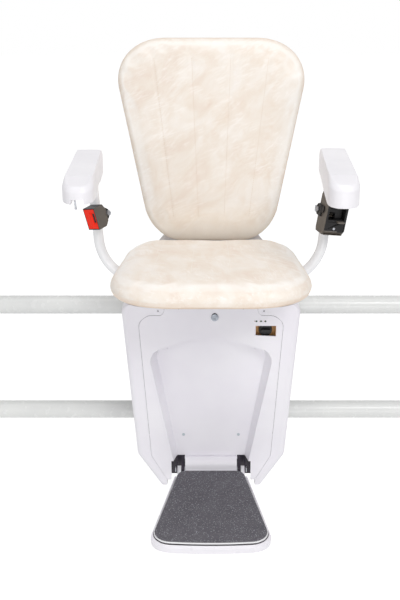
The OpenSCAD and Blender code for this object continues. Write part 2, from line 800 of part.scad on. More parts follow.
module hanger(t, thin) difference() {
    union() {
        along_x(t) polygon(hanger_half(thin));
        translate([0, foot_y, foot_z]) rod_x(boss_r, t);
    }
    translate([-over, foot_y, foot_z]) rod_x(foot_pin_r + fit, t + 2 * over);
}

module footrest_hangers() color("white") mirrored() {
    translate([hanger_x, 0, 0]) hanger(hanger_t, 0);
    translate([stay_x, 0, 0]) hanger(stay_t, 6);
    translate([hanger_x - 1, recess_y + cover_wall + 2, foot_z - web_drop])
        cube([cutout_width / 2 + web_lap - hanger_x, web_t, web_drop + web_lap - cutout_top - foot_z]);
}

module footrest_hinge_pins() color("silver") mirrored() translate([hanger_x, foot_y, foot_z]) {
    rod_x(foot_pin_r, hinge_pin_length);
    translate([-1.5, 0, 0]) rod_x(boss_r - 2, 1.5);
    translate([hinge_pin_length, 0, 0]) rod_x(boss_r - 2, 1.5);
}

// Footrest
mat_half = [[0, -mat_length, 1000], [mat_front_width / 2, -mat_length + 12, 38],
    [mat_rear_width / 2, 0, 24]];
module mat_outline(depth) polygon(rounded(inset(both_sides(mat_half), depth)));

module footrest_mat() color("dimgray") translate([0, mat_y, plate_top])
    linear_extrude(mat_t) mat_outline(0);

arm_reach = mat_length / 3;
arm_bar = 4.5;
module footrest_plate() color("white") {
    translate([0, mat_y, plate_base]) linear_extrude(plate_t) mat_outline(-plate_rim);
    mirrored() translate([knuckle_x, 0, 0]) difference() {
        union() {
            translate([0, foot_y, foot_z]) rod_x(boss_r, knuckle_t);
            translate([0, mat_y - arm_reach, plate_base - arm_bar])
                cube([knuckle_t, arm_reach + mat_start / 3, arm_bar]);
            along_x(knuckle_t) polygon([[foot_y + boss_r * 0.2, foot_z + boss_r * 0.9],
                [mat_y + mat_start / 3, plate_base],
                [mat_y, plate_base - arm_bar], [foot_y - boss_r * 0.6, foot_z - boss_r * 0.6]]);
        }
        translate([-over, foot_y, foot_z]) rod_x(foot_pin_r + fit, knuckle_t + 2 * over);
    }
}

module pan_solid(depth, lift) translate([0, mat_y, pan_top]) hull() {
    translate([0, 0, lift > 0 ? over : 0]) linear_extrude(layer) mat_outline(-pan_rim + depth);
    translate([0, 0, -pan_height * 0.45]) linear_extrude(layer) mat_outline(-pan_rim + 1 + depth);
    translate([0, 0, -pan_height + lift]) linear_extrude(layer) mat_outline(pan_height * 0.4 + depth);
}

module safety_pan() color("white") {
    difference() {
        pan_solid(0, 0);
        pan_solid(pan_wall, pan_wall);
        translate([-cutout_width / 2, mat_y - mat_start / 3, pan_top - pan_height + pan_wall])
            cube([cutout_width, mat_start, pan_height]);
    }
    mirrored() translate([pan_ear_x, 0, 0]) difference() {
        union() {
            translate([0, foot_y, foot_z]) rod_x(boss_r, pan_ear_t);
            along_x(pan_ear_t) polygon([[foot_y + boss_r * 0.7, foot_z - boss_r * 0.7],
                [foot_y - boss_r * 0.5, foot_z + boss_r * 0.7],
                [mat_y - arm_reach * 0.6, pan_top - pan_height * 0.4],
                [mat_y - arm_reach * 0.6, pan_top - pan_height + pan_wall],
                [mat_y - mat_start / 2, pan_top - pan_height + pan_wall / 2]]);
        }
        translate([-over, foot_y, foot_z]) rod_x(foot_pin_r + fit, pan_ear_t + 2 * over);
    }
}

// Swivel hub and seat frame
module swivel_hub() color("dimgray") difference() {
    union() {
        translate([0, post_y, hub_z]) cylinder(d = bearing_d, h = hub_height);
        translate([-hub_width / 2, post_y - arm_tube_d, hub_z])
            cube([hub_width, 2 * arm_tube_d, hub_height]);
        translate([lever_x, lever_y - over, lever_z]) rod_y(lever_pin_r, arm_tube_d + 2 * over);
    }
    translate([0, post_y, hub_z - over]) cylinder(r = spigot_d / 2 + fit, h = hub_height + 2 * over);
    for (s = [0, 1]) mirror([s, 0, 0])
        translate([arm_socket, post_y, arm_z]) rod_x(arm_tube_r + fit, hub_width);
}

frame_rear = tube_y - seat_axis + ear_r + 22;
frame_front = seat_y - seat_length * 0.82;
module seat_frame() color("silver") {
    mirrored() translate([frame_x - frame_width / 2, frame_front, hub_top])
        cube([frame_width, frame_rear - frame_front, frame_t]);
    for (y = [post_y - arm_tube_d, seat_y - seat_length * 0.7])
        translate([-frame_x, y, hub_top]) cube([2 * frame_x, 2 * frame_width, frame_t]);
}

module seat_buffers() color("black") mirrored() for (share = [0.3, 0.7])
    translate([frame_x, seat_y - seat_length * share, frame_top])
        cylinder(d = frame_width * 0.8, h = buffer_t);

module seat_hinge_ears() color("silver") mirrored() difference() {
    for (x = [frame_x - frame_width / 2, frame_x + frame_width / 2 - ear_t])
        translate([x, 0, 0]) {
            translate([0, seat_axis_y, seat_axis_z]) rod_x(ear_r, ear_t);
            translate([0, seat_axis_y - ear_r, frame_top]) cube([ear_t, 2 * ear_r, seat_axis_z - frame_top]);
        }
    translate([0, seat_axis_y, seat_axis_z]) rod_x(seat_pin_r + fit, 2 * frame_x);
}

module seat_hinge_pins() color("silver") mirrored()
    translate([frame_x - frame_width / 2 - 1, seat_axis_y, seat_axis_z])
        rod_x(seat_pin_r, frame_width + 2);

seat_half = [[seat_front_width / 2, -seat_length, 90], [seat_rear_width / 2, 0, 55]];
knuckle_half = frame_width / 2 - ear_t - gap;
pan_inset = 18;
module seat_pan() color("whitesmoke") difference() {
    union() {
        difference() {
            translate([0, seat_y, seat_pan_z]) linear_extrude(seat_pan_t)
                polygon(rounded(inset(both_sides(seat_half), pan_inset)));
            mirrored() translate([frame_x - frame_width / 2 - 1, seat_axis_y - ear_r - 3, seat_pan_z - over])
                cube([frame_width + 2, seat_axis, seat_pan_t + 2 * over]);
        }
        mirrored() translate([frame_x - knuckle_half, seat_axis_y, 0]) {
            translate([0, 0, seat_axis_z]) rod_x(ear_r - 1.5, 2 * knuckle_half);
            translate([0, -ear_r - 4, seat_axis_z - seat_pin_r]) cube([2 * knuckle_half, ear_r + 4, 2 * seat_pin_r]);
        }
    }
    mirrored() translate([0, seat_axis_y, seat_axis_z]) rod_x(seat_pin_r + fit, 2 * frame_x);
}

module swivel_lever() color("black") translate([lever_x, lever_y, lever_z]) difference() {
    union() {
        rod_y(2 * lever_pin_r, lever_width);
        translate([0, 0, -lever_t / 2]) cube([lever_length, lever_width, lever_t]);
    }
    translate([0, -over, 0]) rod_y(lever_pin_r + fit, lever_width + 2 * over);
}

// Cushions: a grid of rows and columns over the plan, with crown, sewn channels and round sides
column_shares = [-1, -0.98, -0.93, -0.85, -0.74, -0.64, -0.605, -0.575, -0.545, -0.51, -0.4, -0.28,
    -0.225, -0.195, -0.165, -0.1, 0, 0.1, 0.165, 0.195, 0.225, 0.28, 0.4, 0.51, 0.545, 0.575, 0.605,
    0.64, 0.74, 0.85, 0.93, 0.98, 1];
channel_shares = [-0.575, -0.195, 0.195, 0.575];
channel_width_share = 0.03;
channel_depth = 3;
side_shares = [[0, 0.9], [0.18, 0.2], [0.5, 0], [0.8, 0.25]];
cushion_rows = 22;

function round_off(d, size) = d >= size.y ? 0 : size.x * (1 - sqrt(1 - pow((size.y - d) / size.y, 2)));
function row_half(length, w, near, far, d) =
    w.x / 2 + (w.y - w.x) / 2 * d / length - round_off(d, near) - round_off(length - d, far);

module cushion(length, w, near, far, t, crown, side) {
    columns = len(column_shares) - 1;
    mid = [0, length / 2];
    reach = [w.y / 2, length / 2];
    plan = [for (i = [0:cushion_rows]) let (d = length * (1 - cos(180 * i / cushion_rows)) / 2)
        let (half = row_half(length, w, near, far, d)) [for (u = column_shares) [u * half, d]]];
    edge = concat([for (j = [0:columns]) plan[0][j]], [for (i = [1:cushion_rows]) plan[i][columns]],
        [for (j = [columns - 1:-1:0]) plan[cushion_rows][j]],
        [for (i = [cushion_rows - 1:-1:1]) plan[i][0]]);
    ring = len(edge);
    function drawn(p, depth) = mid + [(p.x - mid.x) * (1 - depth / reach.x),
        (p.y - mid.y) * (1 - depth / reach.y)];
    function groove(u) = max([for (c = channel_shares) exp(-pow((u - c) / channel_width_share, 2))]);
    function rise(u, v) = crown * (1 - pow(abs(u), 3)) * (1 - pow(abs(v), 3))
        - channel_depth * groove(u) * min(1, 4 * (1 - abs(v)));
    top = [for (i = [0:cushion_rows]) for (j = [0:columns])
        let (p = drawn(plan[i][j], side), v = plan[i][j].y / length * 2 - 1)
        [p.x, p.y, t + rise(column_shares[j], v)]];
    sides = [for (s = side_shares) for (p = edge) let (q = drawn(p, side * s[1])) [q.x, q.y, t * s[0]]];
    base = len(top);
    top_edge = concat([for (j = [0:columns]) j], [for (i = [1:cushion_rows]) i * (columns + 1) + columns],
        [for (j = [columns - 1:-1:0]) cushion_rows * (columns + 1) + j],
        [for (i = [cushion_rows - 1:-1:1]) i * (columns + 1)]);
    levels = len(side_shares);
    function at(level, k) = level == levels ? top_edge[k % ring] : base + level * ring + k % ring;
    centre = base + levels * ring;
    grid = [for (i = [0:cushion_rows - 1]) for (j = [0:columns - 1])
        let (a = i * (columns + 1) + j, b = a + columns + 1) each [[a, b, a + 1], [a + 1, b, b + 1]]];
    walls = [for (l = [0:levels - 1]) for (k = [0:ring - 1])
        each [[at(l, k), at(l + 1, k), at(l, k + 1)], [at(l, k + 1), at(l + 1, k), at(l + 1, k + 1)]]];
    floor_fan = [for (k = [0:ring - 1]) [at(0, k), at(0, k + 1), centre]];
    polyhedron(concat(top, sides, [[mid.x, mid.y, 0]]), concat(grid, walls, floor_fan));
}

module seat_cushion() color("antiquewhite") translate([0, seat_y, seat_base]) rotate([0, 0, 180])
    cushion(seat_length, [seat_rear_width, seat_front_width], [50, 95], [100, 95], seat_t, seat_crown, 13);

// Backrest
back_half = [[back_low_width / 2, 0, 75], [back_top_width / 2, back_length, 110]];
module back_place() translate([0, back_y, back_low]) rotate([back_tilt, 0, 0]) children();

module backrest_cushion() color("antiquewhite") back_place() translate([0, 0, -back_t])
    cushion(back_length, [back_low_width, back_top_width], [64, 104], [123, 122], back_t, back_crown, 8);

module backrest_shell() color("whitesmoke") back_place()
    translate([0, 0, -back_t - gap - back_board_t]) linear_extrude(back_board_t)
        polygon(rounded(inset(both_sides(back_half), 12)));

bracket_t = 8;
bracket_half = 124;
module back_bracket() color("white") {
    lift = back_length * 0.3;
    foot = 24;
    back_place() translate([0, 0, -back_t - back_board_t - 2 * gap - bracket_t]) linear_extrude(bracket_t)
        polygon(rounded(both_sides([[bracket_half + foot * 2 / 3, -foot, 0],
            [bracket_half + foot * 2 / 3, -foot * 2 / 3, 9], [bracket_half - foot / 6, foot / 3, 16],
            [bracket_half / 2, foot / 3, 12], [bracket_half / 2, lift, 14]])));
    y = back_y + back_t + back_board_t;
    translate([-frame_x - frame_width / 2, frame_rear, hub_top])
        cube([2 * frame_x + frame_width, y - frame_rear, bracket_t * 3 / 4]);
    translate([-bracket_half + over, y - bracket_t / 2, hub_top]) cube([2 * (bracket_half - over),
        2 * bracket_t, back_low - foot / 2 - hub_top]);
}

// Arm tubes and armrests
module arm_tube() color("white") translate([0, post_y, 0]) {
    translate([arm_socket, 0, arm_z]) {
        rod_x(arm_tube_r, bend_x - arm_socket);
        rod_x(arm_tube_r * core_share, bend_x - arm_socket + over);
    }
    translate([bend_x, 0, arm_z + arm_bend]) rotate([90, 0, 0]) rotate([0, 0, -90])
        rotate_extrude(angle = 90 - arm_lean, $fn = 96) translate([arm_bend, 0]) circle(arm_tube_r, $fn = 48);
    translate([bend_x + arm_bend * cos(arm_lean), 0, arm_z + arm_bend - arm_bend * sin(arm_lean)])
        rotate([0, arm_lean, 0]) difference() {
            union() {
                cylinder(r = arm_tube_r, h = arm_straight);
                translate([0, 0, -over]) cylinder(r = arm_tube_r * core_share, h = 2 * over);
            }
            translate([-arm_tube_d, 0, (arm_pivot_z - bend_z) / cos(arm_lean)])
                rod_x(armrest_pin_r + fit, 2 * arm_tube_d);
        }
}

module arm_tube_right() arm_tube();
module arm_tube_left() mirror([1, 0, 0]) arm_tube();

armrest_pin_length = armrest_width - 2 * armrest_wall + 4;
module armrest_pins() color("silver") mirrored()
    armrest_place(1) translate([-armrest_pin_length / 2, 0, 0]) rod_x(armrest_pin_r, armrest_pin_length);

armrest_side = [[-armrest_length + armrest_tail + 4, armrest_top - armrest_nose, 3],
    [-armrest_length * 0.5, armrest_top - armrest_nose, 60],
    [-armrest_length * 0.26, armrest_top - armrest_height, 24], [armrest_tail, armrest_top - armrest_height, 8],
    [armrest_tail, armrest_top, 6], [-armrest_length * 0.8 + armrest_tail, armrest_top, 60],
    [-armrest_length + armrest_tail, armrest_top - 10, 5]];
armrest_plan = [[armrest_width / 2, -armrest_length + armrest_tail, 27],
    [armrest_width / 2, armrest_tail, 8]];

module armrest_solid(depth) intersection() {
    translate([-armrest_width, 0, 0]) along_x(2 * armrest_width)
        polygon(rounded(inset(armrest_side, depth)));
    translate([0, 0, -armrest_height]) linear_extrude(2 * armrest_height)
        polygon(rounded(inset(both_sides(armrest_plan), depth)));
}

module armrest() difference() {
    armrest_solid(0);
    difference() {
        armrest_solid(armrest_wall);
        translate([-armrest_width, -armrest_length, -armrest_height])
            cube([2 * armrest_width, armrest_length * 0.62, 2 * armrest_height]);
    }
    translate([-slot_half, -arm_tube_d, -armrest_height])
        cube([2 * slot_half, arm_tube_d + 2 * armrest_tail, armrest_height + arm_tube_r * 1.5]);
    translate([-armrest_width, 0, 0]) rod_x(armrest_pin_r + fit, 2 * armrest_width);
}

module armrest_place(side) translate([side * arm_pivot_x, post_y, arm_pivot_z])
    rotate([0, side * arm_lean, 0]) children();

nose_slot = 26;
nose_slot_share = 0.24;
lever_r = 2;
lever_drop = 34;
nose_y = -armrest_length + armrest_tail;
toggle_y = nose_y + 22;
toggle_z = armrest_top - armrest_nose * 0.55;
toggle_pin = 26;
module armrest_left() color("white") armrest_place(-1) difference() {
    armrest();
    translate([-nose_slot / 2, nose_y - over, armrest_top - armrest_nose - over])
        cube([nose_slot, armrest_length * 0.3, armrest_nose * nose_slot_share]);
    translate([-2.5 * lever_r, toggle_y - 2 * lever_r, armrest_top - armrest_nose])
        cube([5 * lever_r, 4 * lever_r, armrest_nose * 0.55]);
    translate([0, toggle_y - toggle_pin / 2, toggle_z]) rod_y(lever_r + fit, toggle_pin);
}

module armrest_right() color("white") armrest_place(1) armrest();

module toggle_lever() color("silver") armrest_place(-1)
    translate([0, toggle_y, toggle_z]) {
        translate([0, gap - toggle_pin / 2, 0]) rod_y(lever_r, toggle_pin - 2 * gap);
        translate([0, 0, -lever_drop]) cylinder(r = lever_r, h = lever_drop);
        translate([0, 0, -lever_drop]) sphere(lever_r * 1.4);
    }

// Lap belt: buckle on the left arm tube, reel on the right one
function tube_x(z) = arm_pivot_x - (arm_pivot_z - z) * tan(arm_lean);
module buckle_place() translate([-tube_x(buckle_z), post_y - buckle_stand, buckle_z])
    rotate([0, -buckle_lean, 0]) rotate([0, 0, buckle_yaw]) children();
module reel_place() translate([tube_x(reel_z), post_y - reel_stand, reel_z])
    rotate([0, reel_lean, 0]) rotate([0, 0, reel_yaw]) children();

button_width = buckle_width - 5;
button_height = buckle_height - 6;
module buckle_housing() color("black") buckle_place() difference() {
    translate([-buckle_width / 2, -buckle_depth / 2, -buckle_height / 2])
        cube([buckle_width, buckle_depth, buckle_height]);
    translate([-button_width / 2 - gap, -buckle_depth / 2 - over, -button_height / 2 - gap])
        cube([button_width + 2 * gap, buckle_depth * 0.45 + over, button_height + 2 * gap]);
}

module buckle_button() color("red") buckle_place() difference() {
    translate([-button_width / 2, -buckle_depth / 2 - gap, -button_height / 2])
        cube([button_width, buckle_depth * 0.45 - button_travel - gap, button_height]);
    translate([button_width / 2 - 9, -buckle_depth / 2 - over, -button_height / 4])
        cube([4.5, buckle_depth * 0.3, button_height / 2]);
}

module belt_reel() color("black") reel_place() difference() {
    translate([-reel_width / 2, -reel_depth / 2, -reel_height / 2])
        cube([reel_width, reel_depth, reel_height]);
    translate([-reel_width / 2 + 6, -reel_depth / 2 - over, -reel_height * 0.18])
        cube([reel_width - 12, reel_depth * 0.7, reel_height * 0.56]);
}

spool_r = reel_depth * 0.2;
module belt_spool() color("dimgray") reel_place()
    translate([-reel_width / 2 + 6, reel_depth * 0.2 - spool_r - gap - 1, reel_height * 0.1])
        rod_x(spool_r, reel_width - 12);

tongue_t = 3;
module belt_tongue() color("dimgray") reel_place()
    translate([reel_width / 2 - 26, -reel_depth / 2 - 8, -reel_height * 0.18])
        cube([18, reel_depth * 0.45, tongue_t]);

// A clamp round the arm tube with a flat lug behind the housing and a bolt on its inner side
clamp_h = 16;
module tube_place(side, z) translate([side * tube_x(z), post_y, z]) rotate([0, side * arm_lean, 0])
    children();

module belt_clamp(side, z) {
    head = arm_tube_r + 2 * clamp_t;
    tube_place(side, z) {
        translate([0, 0, -clamp_h / 2]) cylinder(r = arm_tube_r + clamp_t, h = clamp_h);
        mirror([side > 0 ? 1 : 0, 0, 0]) {
            translate([arm_tube_r + over, 0, 0]) rod_x(anchor_r, head - arm_tube_r);
            translate([head, 0, 0]) rod_x(anchor_r * 1.6, clamp_t + 3);
        }
    }
}

module belt_anchors() color("silver") {
    difference() {
        union() {
            belt_clamp(-1, buckle_z);
            buckle_place() translate([-buckle_width / 2 + 1, buckle_depth / 2, -clamp_h / 2])
                cube([clamp_h, clamp_h, clamp_h]);
        }
        tube_place(-1, buckle_z) cylinder(r = arm_tube_r + fit, h = 4 * clamp_h, center = true);
    }
    difference() {
        union() {
            belt_clamp(1, reel_z);
            reel_place() translate([reel_stand * sin(reel_yaw) - clamp_h / 2, reel_depth / 2, -clamp_h / 2])
                cube([clamp_h, clamp_h * 0.7, clamp_h]);
        }
        tube_place(1, reel_z) cylinder(r = arm_tube_r + fit, h = 4 * clamp_h, center = true);
    }
}

upper_rail_tube();
lower_rail_tube();
gear_rack();
wall_bracket_left();
wall_bracket_right();
chassis_plate();
roller_axles();
guide_roller_forks();
gearbox();
drive_motor();
battery_left();
battery_right();
control_board();
post_bracket();
seat_post();
swivel_bearing();
front_cover();
side_cover_left();
side_cover_right();
cover_screws();
key_lock();
switch_plate();
indicator_lamps();
footrest_hangers();
footrest_hinge_pins();
load_roller_left();
load_roller_right();
keeper_roller_left();
keeper_roller_right();
guide_roller_left();
guide_roller_right();
drive_pinion();
key_cylinder();
switch_knob();
footrest_plate();
footrest_mat();
safety_pan();
swivel_hub();
seat_frame();
back_bracket();
backrest_shell();
backrest_cushion();
arm_tube_left();
arm_tube_right();
seat_hinge_ears();
seat_hinge_pins();
seat_buffers();
swivel_lever();
seat_pan();
seat_cushion();
armrest_left();
armrest_right();
armrest_pins();
toggle_lever();
buckle_housing();
buckle_button();
belt_anchors();
belt_reel();
belt_spool();
belt_tongue();
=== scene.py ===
import json
import math

import bmesh
import bpy
from mathutils import Matrix, Vector, noise
from mathutils.bvhtree import BVHTree


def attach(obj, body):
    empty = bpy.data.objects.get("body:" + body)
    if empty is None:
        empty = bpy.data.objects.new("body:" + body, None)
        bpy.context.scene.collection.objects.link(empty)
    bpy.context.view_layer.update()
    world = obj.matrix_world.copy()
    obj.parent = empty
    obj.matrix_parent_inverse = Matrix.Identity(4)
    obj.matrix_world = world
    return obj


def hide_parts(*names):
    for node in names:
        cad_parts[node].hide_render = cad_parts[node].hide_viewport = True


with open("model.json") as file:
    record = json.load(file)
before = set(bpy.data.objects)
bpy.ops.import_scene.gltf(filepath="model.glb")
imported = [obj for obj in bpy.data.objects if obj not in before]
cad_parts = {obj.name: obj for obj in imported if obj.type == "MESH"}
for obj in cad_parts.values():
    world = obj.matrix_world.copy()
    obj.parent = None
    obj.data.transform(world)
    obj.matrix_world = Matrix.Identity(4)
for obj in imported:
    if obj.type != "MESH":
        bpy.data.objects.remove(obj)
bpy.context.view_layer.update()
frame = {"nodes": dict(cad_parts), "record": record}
MM = 0.001
BODY_OF = {node: body for body, nodes in frame["record"]["behaviour"]["bodies"].items() for node in nodes}


# Small helpers
def tone(r, g, b):
    """A colour in steps of 0 to 255, as the renderer's linear values."""
    def linear(c):
        return c / 255 / 12.92 if c < 11 else ((c / 255 + 0.055) / 1.055) ** 2.4
    return (linear(r), linear(g), linear(b), 1)


def limited(v, low=0, high=1):
    """The value, held between two limits."""
    return min(high, max(low, v))


def ramp(v, low, high):
    """A smooth step from 0 at low to 1 at high."""
    f = limited((v - low) / (high - low))
    return f * f * (3 - 2 * f)


def shifted(x, y, z):
    """A move by millimetres."""
    return Matrix.Translation(Vector((x, y, z)) * MM)


def turned(degrees, axis):
    return Matrix.Rotation(math.radians(degrees), 4, axis)


# Materials
class Paint:
    """A node material with small helpers for its graph."""

    def __init__(self, name, rough=0.5, metal=0.0, **sockets):
        self.mat = bpy.data.materials.new(name)
        self.mat.use_nodes = True
        self.tree = self.mat.node_tree
        self.shader = self.tree.nodes["Principled BSDF"]
        self.shader.inputs["Roughness"].default_value = rough
        self.shader.inputs["Metallic"].default_value = metal
        for socket, value in sockets.items():
            self.shader.inputs[socket.replace("_", " ")].default_value = value
        where = self.tree.nodes.new("ShaderNodeTexCoord")
        self.coords = where.outputs["Object"]
        self.normals = where.outputs["Normal"]

    def node(self, kind, **values):
        n = self.tree.nodes.new("ShaderNode" + kind)
        for k, v in values.items():
            if k in n.inputs:
                n.inputs[k].default_value = v
            else:
                setattr(n, k, v)
        return n

    def link(self, a, b):
        self.tree.links.new(a, b)

    def feed(self, n, values):
        """Links or sets the numbered sockets of a node."""
        for socket, value in values.items():
            if hasattr(value, "is_linked"):
                self.link(value, n.inputs[socket])
            else:
                n.inputs[socket].default_value = value

    def stretched(self, scale, turn):
        n = self.node("Mapping", vector_type="TEXTURE")
        n.inputs["Scale"].default_value = [1 / v for v in scale]
        n.inputs["Rotation"].default_value = turn
        self.link(self.coords, n.inputs["Vector"])
        return n.outputs[0]

    def noise(self, scale, detail=4, rough=0.55, warp=0.0, vector=None):
        n = self.node("TexNoise", Scale=scale, Detail=detail, Roughness=rough, Distortion=warp)
        self.link(vector or self.coords, n.inputs["Vector"])
        return n.outputs["Fac"]

    def ramp(self, fac, stops):
        n = self.node("ValToRGB")
        elements = n.color_ramp.elements
        while len(elements) < len(stops):
            elements.new(0.5)
        for element, (position, color) in zip(elements, stops):
            element.position = position
            element.color = color
        self.link(fac, n.inputs["Fac"])
        return n.outputs["Color"]

    def mix(self, fac, a, b):
        n = self.node("Mix", data_type="RGBA", blend_type="MIX")
        self.feed(n, {0: fac, 6: a, 7: b})
        return n.outputs[2]

    def span(self, fac, low, high, to_low=0.0, to_high=1.0):
        n = self.node("MapRange")
        for k, v in (("From Min", low), ("From Max", high), ("To Min", to_low), ("To Max", to_high)):
            n.inputs[k].default_value = v
        self.link(fac, n.inputs["Value"])
        return n.outputs["Result"]

    def math(self, operation, a, b):
        n = self.node("Math", operation=operation)
        self.feed(n, {0: a, 1: b})
        return n.outputs[0]

    def color(self, c):
        self.link(c, self.shader.inputs["Base Color"])

    def rough(self, fac, low, high):
        self.link(self.span(fac, 0.3, 0.7, low, high), self.shader.inputs["Roughness"])

    def bump(self, height, strength, distance):
        n = self.node("Bump", Strength=strength, Distance=distance)
        self.link(height, n.inputs["Height"])
        self.link(n.outputs["Normal"], self.shader.inputs["Normal"])


def plastic(name, low, high, rough=0.42, grain=900, depth=0.00008, **sockets):
    """A moulded or painted surface: two close tones, uneven gloss and a fine grain."""
    p = Paint(name, rough, **sockets)
    p.color(p.ramp(p.noise(7, 3), [(0.3, tone(*low)), (0.7, tone(*high))]))
    p.rough(p.noise(60, 3), rough - 0.05, rough + 0.06)
    p.bump(p.noise(grain, 2), 0.35, depth)
    return p.mat


def metal(name, low, high, rough):
    p = Paint(name, rough, 1.0)
    p.color(p.ramp(p.noise(90, 4), [(0.3, tone(*low)), (0.7, tone(*high))]))
    p.rough(p.noise(260, 3), rough - 0.07, rough + 0.1)
    p.bump(p.noise(500, 2), 0.2, 0.00004)
    return p.mat


def vinyl(name, up, turns, lift, rim, painted_light_band):
    """Marbled pale leathercloth: soft patches, bundles of fine pale hairs, a painted highlight band on the
    shoulders.

    up points out of the cushion, and turns are the angles of the two bundles of hairs.
    lift lightens every tone. The edge is painted with shade, a darker brown, where the surface leans from up
    past rim.
    The last argument gives the heights between which the lowest part is painted lighter and warmer, painted
    light over the seat's shade there, or is None.
    """
    def shade(r, g, b):
        return tone(r + lift, g + lift, b + lift)

    def hairs(turn, scale, place):
        fine = p.noise(scale, 5, 0.62, 0.5, p.stretched((4.2, 4.2, 0.42), turn))
        wide = p.noise(scale * 0.5, 5, 0.6, 0.4, p.stretched((2.2, 2.2, 0.5), turn))
        strand = p.math("ADD", p.span(fine, 0.52, 0.68, 0, 0.7), p.span(wide, 0.5, 0.7, 0, 0.5))
        return p.math("MULTIPLY", strand, p.span(p.noise(place, 3, 0.5, 0.8), 0.44, 0.6))

    hair, stain, painted_highlight, painted_low_light, painted_edge_shade = (shade(*c) for c in (
        (246, 240, 234), (222, 198, 174), (250, 247, 243), (255, 240, 218), (214, 180, 146)))
    p = Paint(name, 0.43)
    cloud = p.noise(13, 6, 0.58, 0.9, p.stretched((1.25, 1.25, 0.8), turns[0]))
    look = p.ramp(cloud, [(0.30, shade(229, 214, 201)), (0.46, shade(233, 222, 210)),
                          (0.60, shade(237, 229, 220)), (0.78, shade(240, 234, 229))])
    look = p.mix(hairs(turns[0], 42, 12), look, hair)
    look = p.mix(hairs(turns[1], 50, 15), look, hair)
    look = p.mix(p.span(p.noise(21, 5, 0.6, 0.8), 0.56, 0.8, 0, 0.3), look, stain)
    facing = p.node("VectorMath", operation="DOT_PRODUCT")
    p.link(p.normals, facing.inputs[0])
    facing.inputs[1].default_value = up
    lean = facing.outputs["Value"]
    # Painted highlight: a lighter band where the shoulder starts to lean from up, standing for the light
    # reflected on the curve.
    shoulder = p.math("MULTIPLY", p.span(lean, 0.78, 0.9), p.span(lean, 0.985, 0.94))
    look = p.mix(p.math("MULTIPLY", shoulder, 0.55), look, painted_highlight)
    # Painted light: the lowest part turns lighter and warmer towards the bottom, brightening the shade that
    # the seat casts there.
    if painted_light_band:
        parts = p.node("SeparateXYZ")
        p.link(p.coords, parts.inputs[0])
        look = p.mix(p.span(parts.outputs["Z"], *painted_light_band, 0, 0.5), look, painted_low_light)
    # Painted shade: the side walls and undersides, which lean away from up, turn a darker brown.
    p.color(p.mix(p.span(lean, rim, rim - 0.8, 0, 0.7), look, painted_edge_shade))
    p.rough(p.noise(45, 4), 0.36, 0.5)
    cells = p.node("TexVoronoi", Scale=620, Randomness=1.0)
    cells.feature = "DISTANCE_TO_EDGE"
    p.link(p.coords, cells.inputs["Vector"])
    p.bump(p.math("ADD", p.span(cells.outputs["Distance"], 0, 0.25), p.noise(260, 4)), 0.5, 0.00012)
    return p.mat


def speckled(name):
    """Grip mat: dark, rough and flecked."""
    p = Paint(name, 0.62)
    flecks = p.node("TexVoronoi", Scale=360, Randomness=1.0)
    p.link(p.coords, flecks.inputs["Vector"])
    chosen = p.math("MULTIPLY", p.span(flecks.outputs["Distance"], 0.4, 0.25),
                    p.span(p.noise(260, 1), 0.5, 0.58))
    dark = p.ramp(p.noise(26, 4), [(0.3, tone(78, 76, 82)), (0.7, tone(88, 86, 92))])
    p.color(p.mix(chosen, dark, tone(168, 168, 176)))
    p.rough(p.noise(300, 3), 0.5, 0.7)
    p.bump(p.math("ADD", p.noise(1100, 2), chosen), 0.6, 0.0003)
    return p.mat


